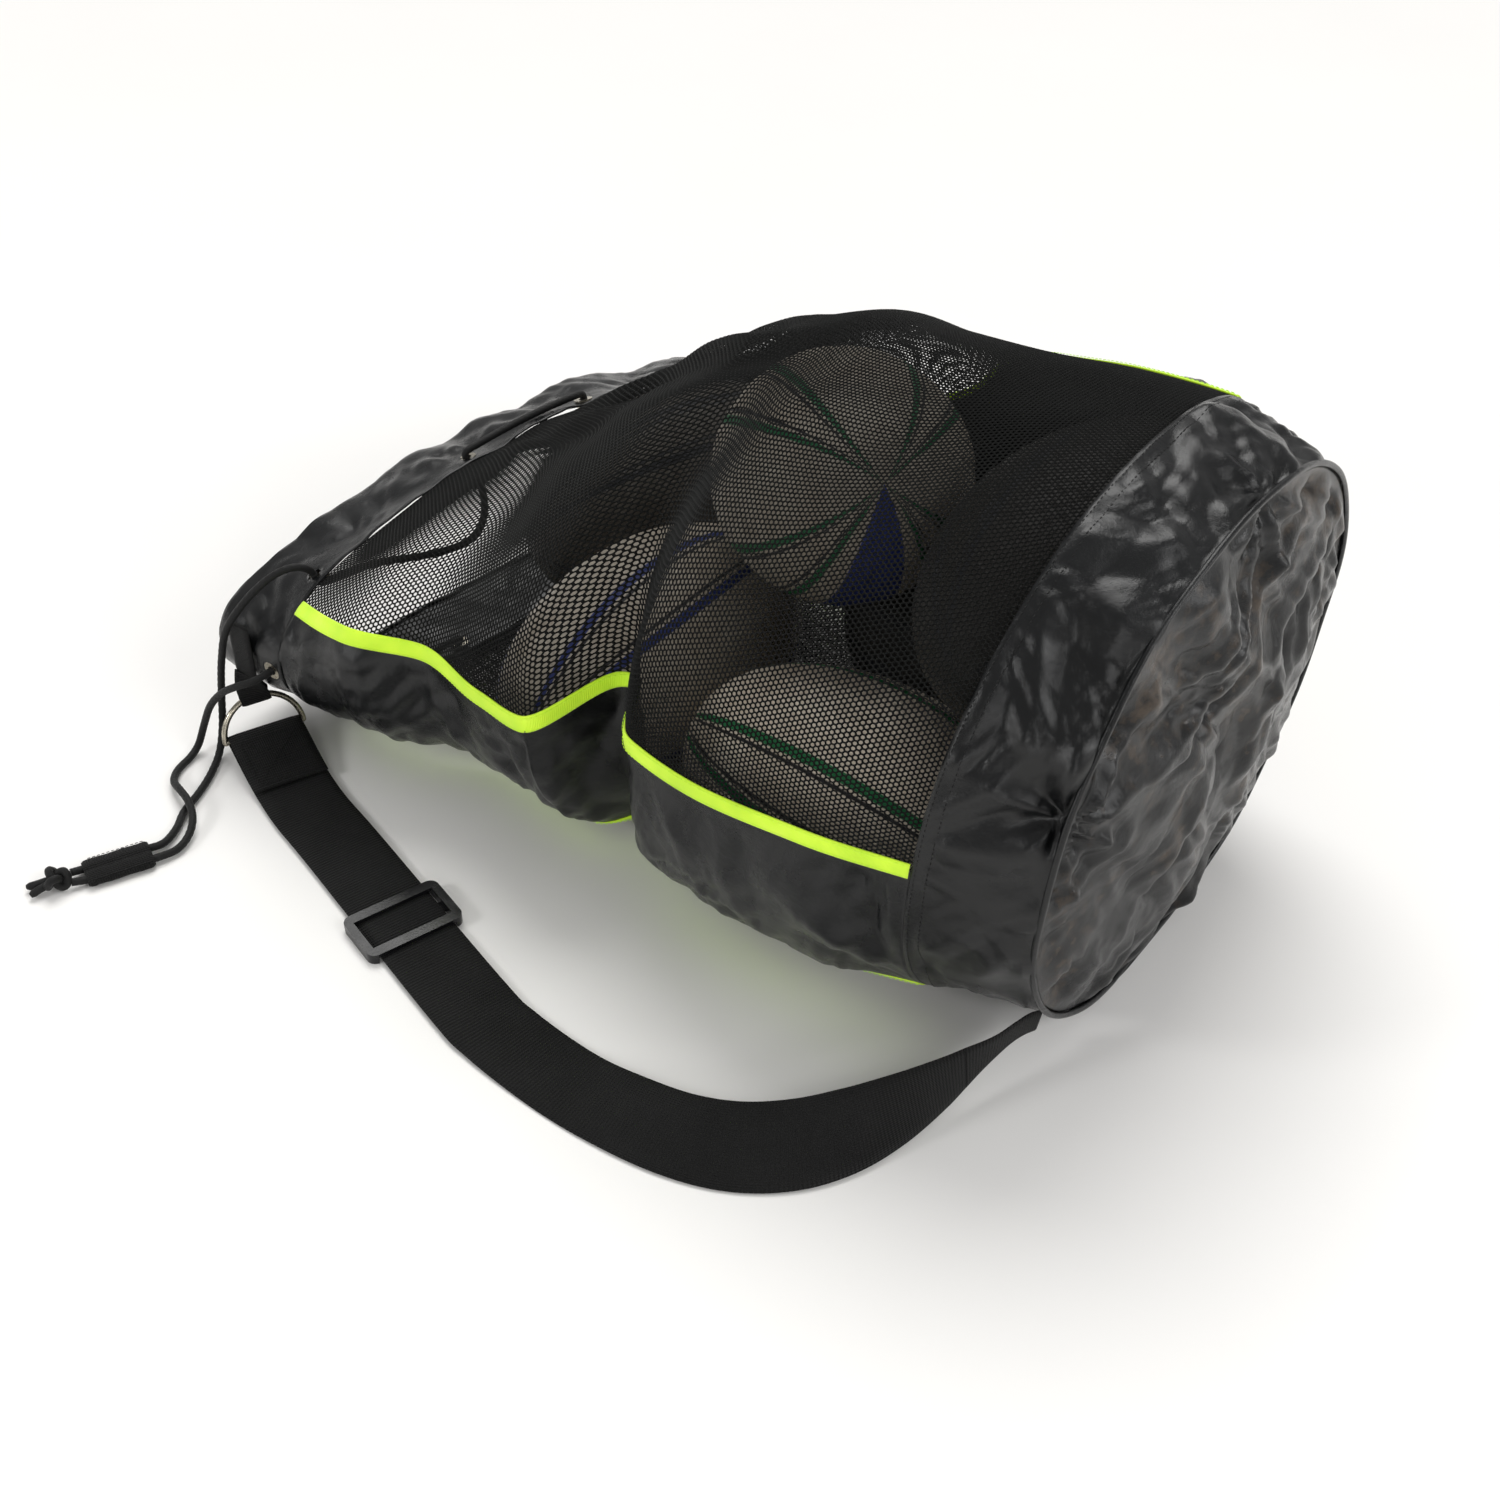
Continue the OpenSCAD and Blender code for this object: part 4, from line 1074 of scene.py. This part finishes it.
def box_stitch(rows, x0, x1):
    """Stitching through the strap's sewn-back end: a box with a cross."""
    lines = []
    r = np.array([x for x in rows if x0 <= x[0] <= x1 and x[4] < 200])
    h = np.radians(r[:, 3])
    w = np.stack([-np.sin(h), np.cos(h), 0 * h], 1)
    up = np.tile([0, 0, 1.0], (len(r), 1))
    c = r[:, :3]
    for k in (-20, 20):
        lines.append((c + w * k + up * 1.0, up))
    for e in (0, -1):
        q = c[e] + np.linspace(-20, 20, 12)[:, None] * w[e] + np.array([0, 0, 1.0])
        lines.append((q, np.tile([0, 0, 1.0], (12, 1))))
    for s in (-1, 1):
        q = c + w * (s * np.linspace(-20, 20, len(r)))[:, None] + up * 1.0
        lines.append((q, up))
    return lines


box = stitches("strap_stitching", box_stitch(strap_rows, -322, -283), 3.0, 2.3, 0.3)
dress(box, THREAD, "strap")

# D-ring tab: the loop swings with the strap and its patch is sewn to the collar
TAB_X, TAB_Y = -336.5, -214.6


def tab_row(z, turn, o, pitch):
    return [TAB_X + o * math.cos(math.radians(turn)),
            TAB_Y + max(0, 58 - z) * 0.12 + o * math.sin(math.radians(turn)), z, turn, pitch, 0, 10]


TAB_ROWS = [tab_row(58, -84, -0.9, -90), tab_row(50, -60, -1.4, -90), tab_row(43, -34, -2.6, -90),
            tab_row(36.4, -20.7, -3.2, -90), tab_row(33.8, -20.7, -2.3, -45), tab_row(32.9, -20.7, 0, 0),
            tab_row(33.8, -20.7, 2.3, 45), tab_row(36.4, -20.7, 3.2, 90), tab_row(43, -34, 2.6, 90),
            tab_row(50, -60, 1.4, 90), tab_row(58, -84, 0.9, 90)]
tab, _ = ribbon("ring_loop", TAB_ROWS, 1.3, step=1.2)
dress(tab, TABWEB, None)
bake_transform(tab)
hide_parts("ring_tab")
patch_rows = [[TAB_X, TAB_Y, z, -88, -90, 0, 10] for z in (98, 86, 74, 62, 58.2)]
patch, _ = ribbon("ring_patch", patch_rows, 2.6, step=1.5)
dress(patch, TABWEB, node="ring_tab_patch")

# Slider: the CAD shape with its edges rounded
src = bpy.data.objects["strap_slider"]
slider = bpy.data.objects.new("slider_plastic", src.data.copy())
bpy.context.collection.objects.link(slider)
weld(slider, 1e-5, lambda bm: bmesh.ops.dissolve_limit(bm, angle_limit=0.01, verts=bm.verts, edges=bm.edges))
bv = slider.modifiers.new("round", "BEVEL")
bv.width, bv.segments, bv.limit_method, bv.angle_limit = 0.0006, 3, "ANGLE", math.radians(40)
dress(slider, PLASTIC, "slider", "strap_slider")

# ---- cord stop
TAB_AT, TAB_TURN = np.array([-306, -352.4, 3.8]), about_z(-112.3).T


def stop_section(x):
    """Two channels with a sewn line between them, in millimetres."""
    a = np.linspace(0, 2 * np.pi, 73)[:-1]
    y = 12.1 * np.sign(np.cos(a)) * abs(np.cos(a)) ** 0.75
    z = 3.7 * np.sign(np.sin(a)) * abs(np.sin(a)) ** 0.85
    pinch = 1 - 0.42 * np.exp(-(y / 1.7) ** 2)
    return y, z * pinch * (1 + 0.02 * math.sin(x * 0.9))


xs = np.linspace(-21, 21, 60)
rows = []
for x in xs:
    y, z = stop_section(x)
    e = 1 - 0.12 * max(0, abs(x) - 19.2) / 1.8
    wob = 0.25 * math.sin(x * 0.35)
    rows.append(np.stack([np.full_like(y, x), y * e + wob, z * e], 1))
rows = np.array(rows)
ps = rows.reshape(-1, 3) @ TAB_TURN + TAB_AT
ps[:, 2] = np.maximum(ps[:, 2], 0.2)
stop = new_object("cord_stop", m(ps), capped(60, 72))
set_uv(stop, rows[..., 0] / 1000, rows[..., 1] / 1000)
dress(stop, TABWEB, "cord_stop", "cord_tab")
lines = []
for y, z in ((0, 2.2), (-10.4, 3.0), (10.4, 3.0)):
    q = np.stack([np.linspace(-19, 19, 30), np.full(30, y), np.full(30, z)], 1) @ TAB_TURN + TAB_AT
    lines.append((q, np.tile([0, 0, 1.0], (30, 1))))
dress(stitches("stop_stitching", lines, 3.0, 2.2, 0.28), THREAD, "cord_stop")

# ---- CAD metal keeps its shape
for nm in ("eyelets", "eyelet_washers", "strap_ring"):
    o = bpy.data.objects[nm]
    o.data.materials.clear()
    o.data.materials.append(METAL)

# ---- studio
floor = new_object("floor", np.array([(-30, -30, 0), (30, -30, 0), (30, 30, 0), (-30, 30, 0)], float),
                   [[0, 1, 2, 3]], smooth=False)
floor.data.materials.append(FLOOR)


def area_light(name, at, look, size, power, color=(1, 1, 1)):
    d = bpy.data.lights.new(name, "AREA")
    d.shape, d.size, d.energy, d.color = "DISK", size, power, color
    o = bpy.data.objects.new(name, d)
    bpy.context.collection.objects.link(o)
    o.location = at
    o.rotation_euler = (Vector(look) - Vector(at)).to_track_quat("-Z", "Y").to_euler()


def soft_sun(name, from_, angle, strength, color=(1, 1, 1)):
    d = bpy.data.lights.new(name, "SUN")
    d.energy, d.angle, d.color = strength, math.radians(angle), color
    o = bpy.data.objects.new(name, d)
    bpy.context.collection.objects.link(o)
    o.rotation_euler = Vector(from_).to_track_quat("Z", "Y").to_euler()


soft_sun("window", (-0.45, 0.55, 1.1), 40, 1.9, (1, 0.995, 0.98))
soft_sun("fill", (1.2, 0.1, 0.9), 26, 0.55)
area_light("right", (1.7, 0.7, 1.0), (0.1, 0, 0.2), 0.5, 7)
area_light("front", (-0.9, -1.7, 1.0), (-0.05, -0.1, 0.1), 0.45, 9)
area_light("low_right", (1.3, -1.5, 0.75), (0.2, -0.1, 0.12), 0.35, 4)
world = bpy.data.worlds.new("studio")
world.use_nodes = True
bg = world.node_tree.nodes["Background"]
bg.inputs[0].default_value = (1.0, 0.995, 0.985, 1)
bg.inputs[1].default_value = 0.42
bpy.context.scene.world = world
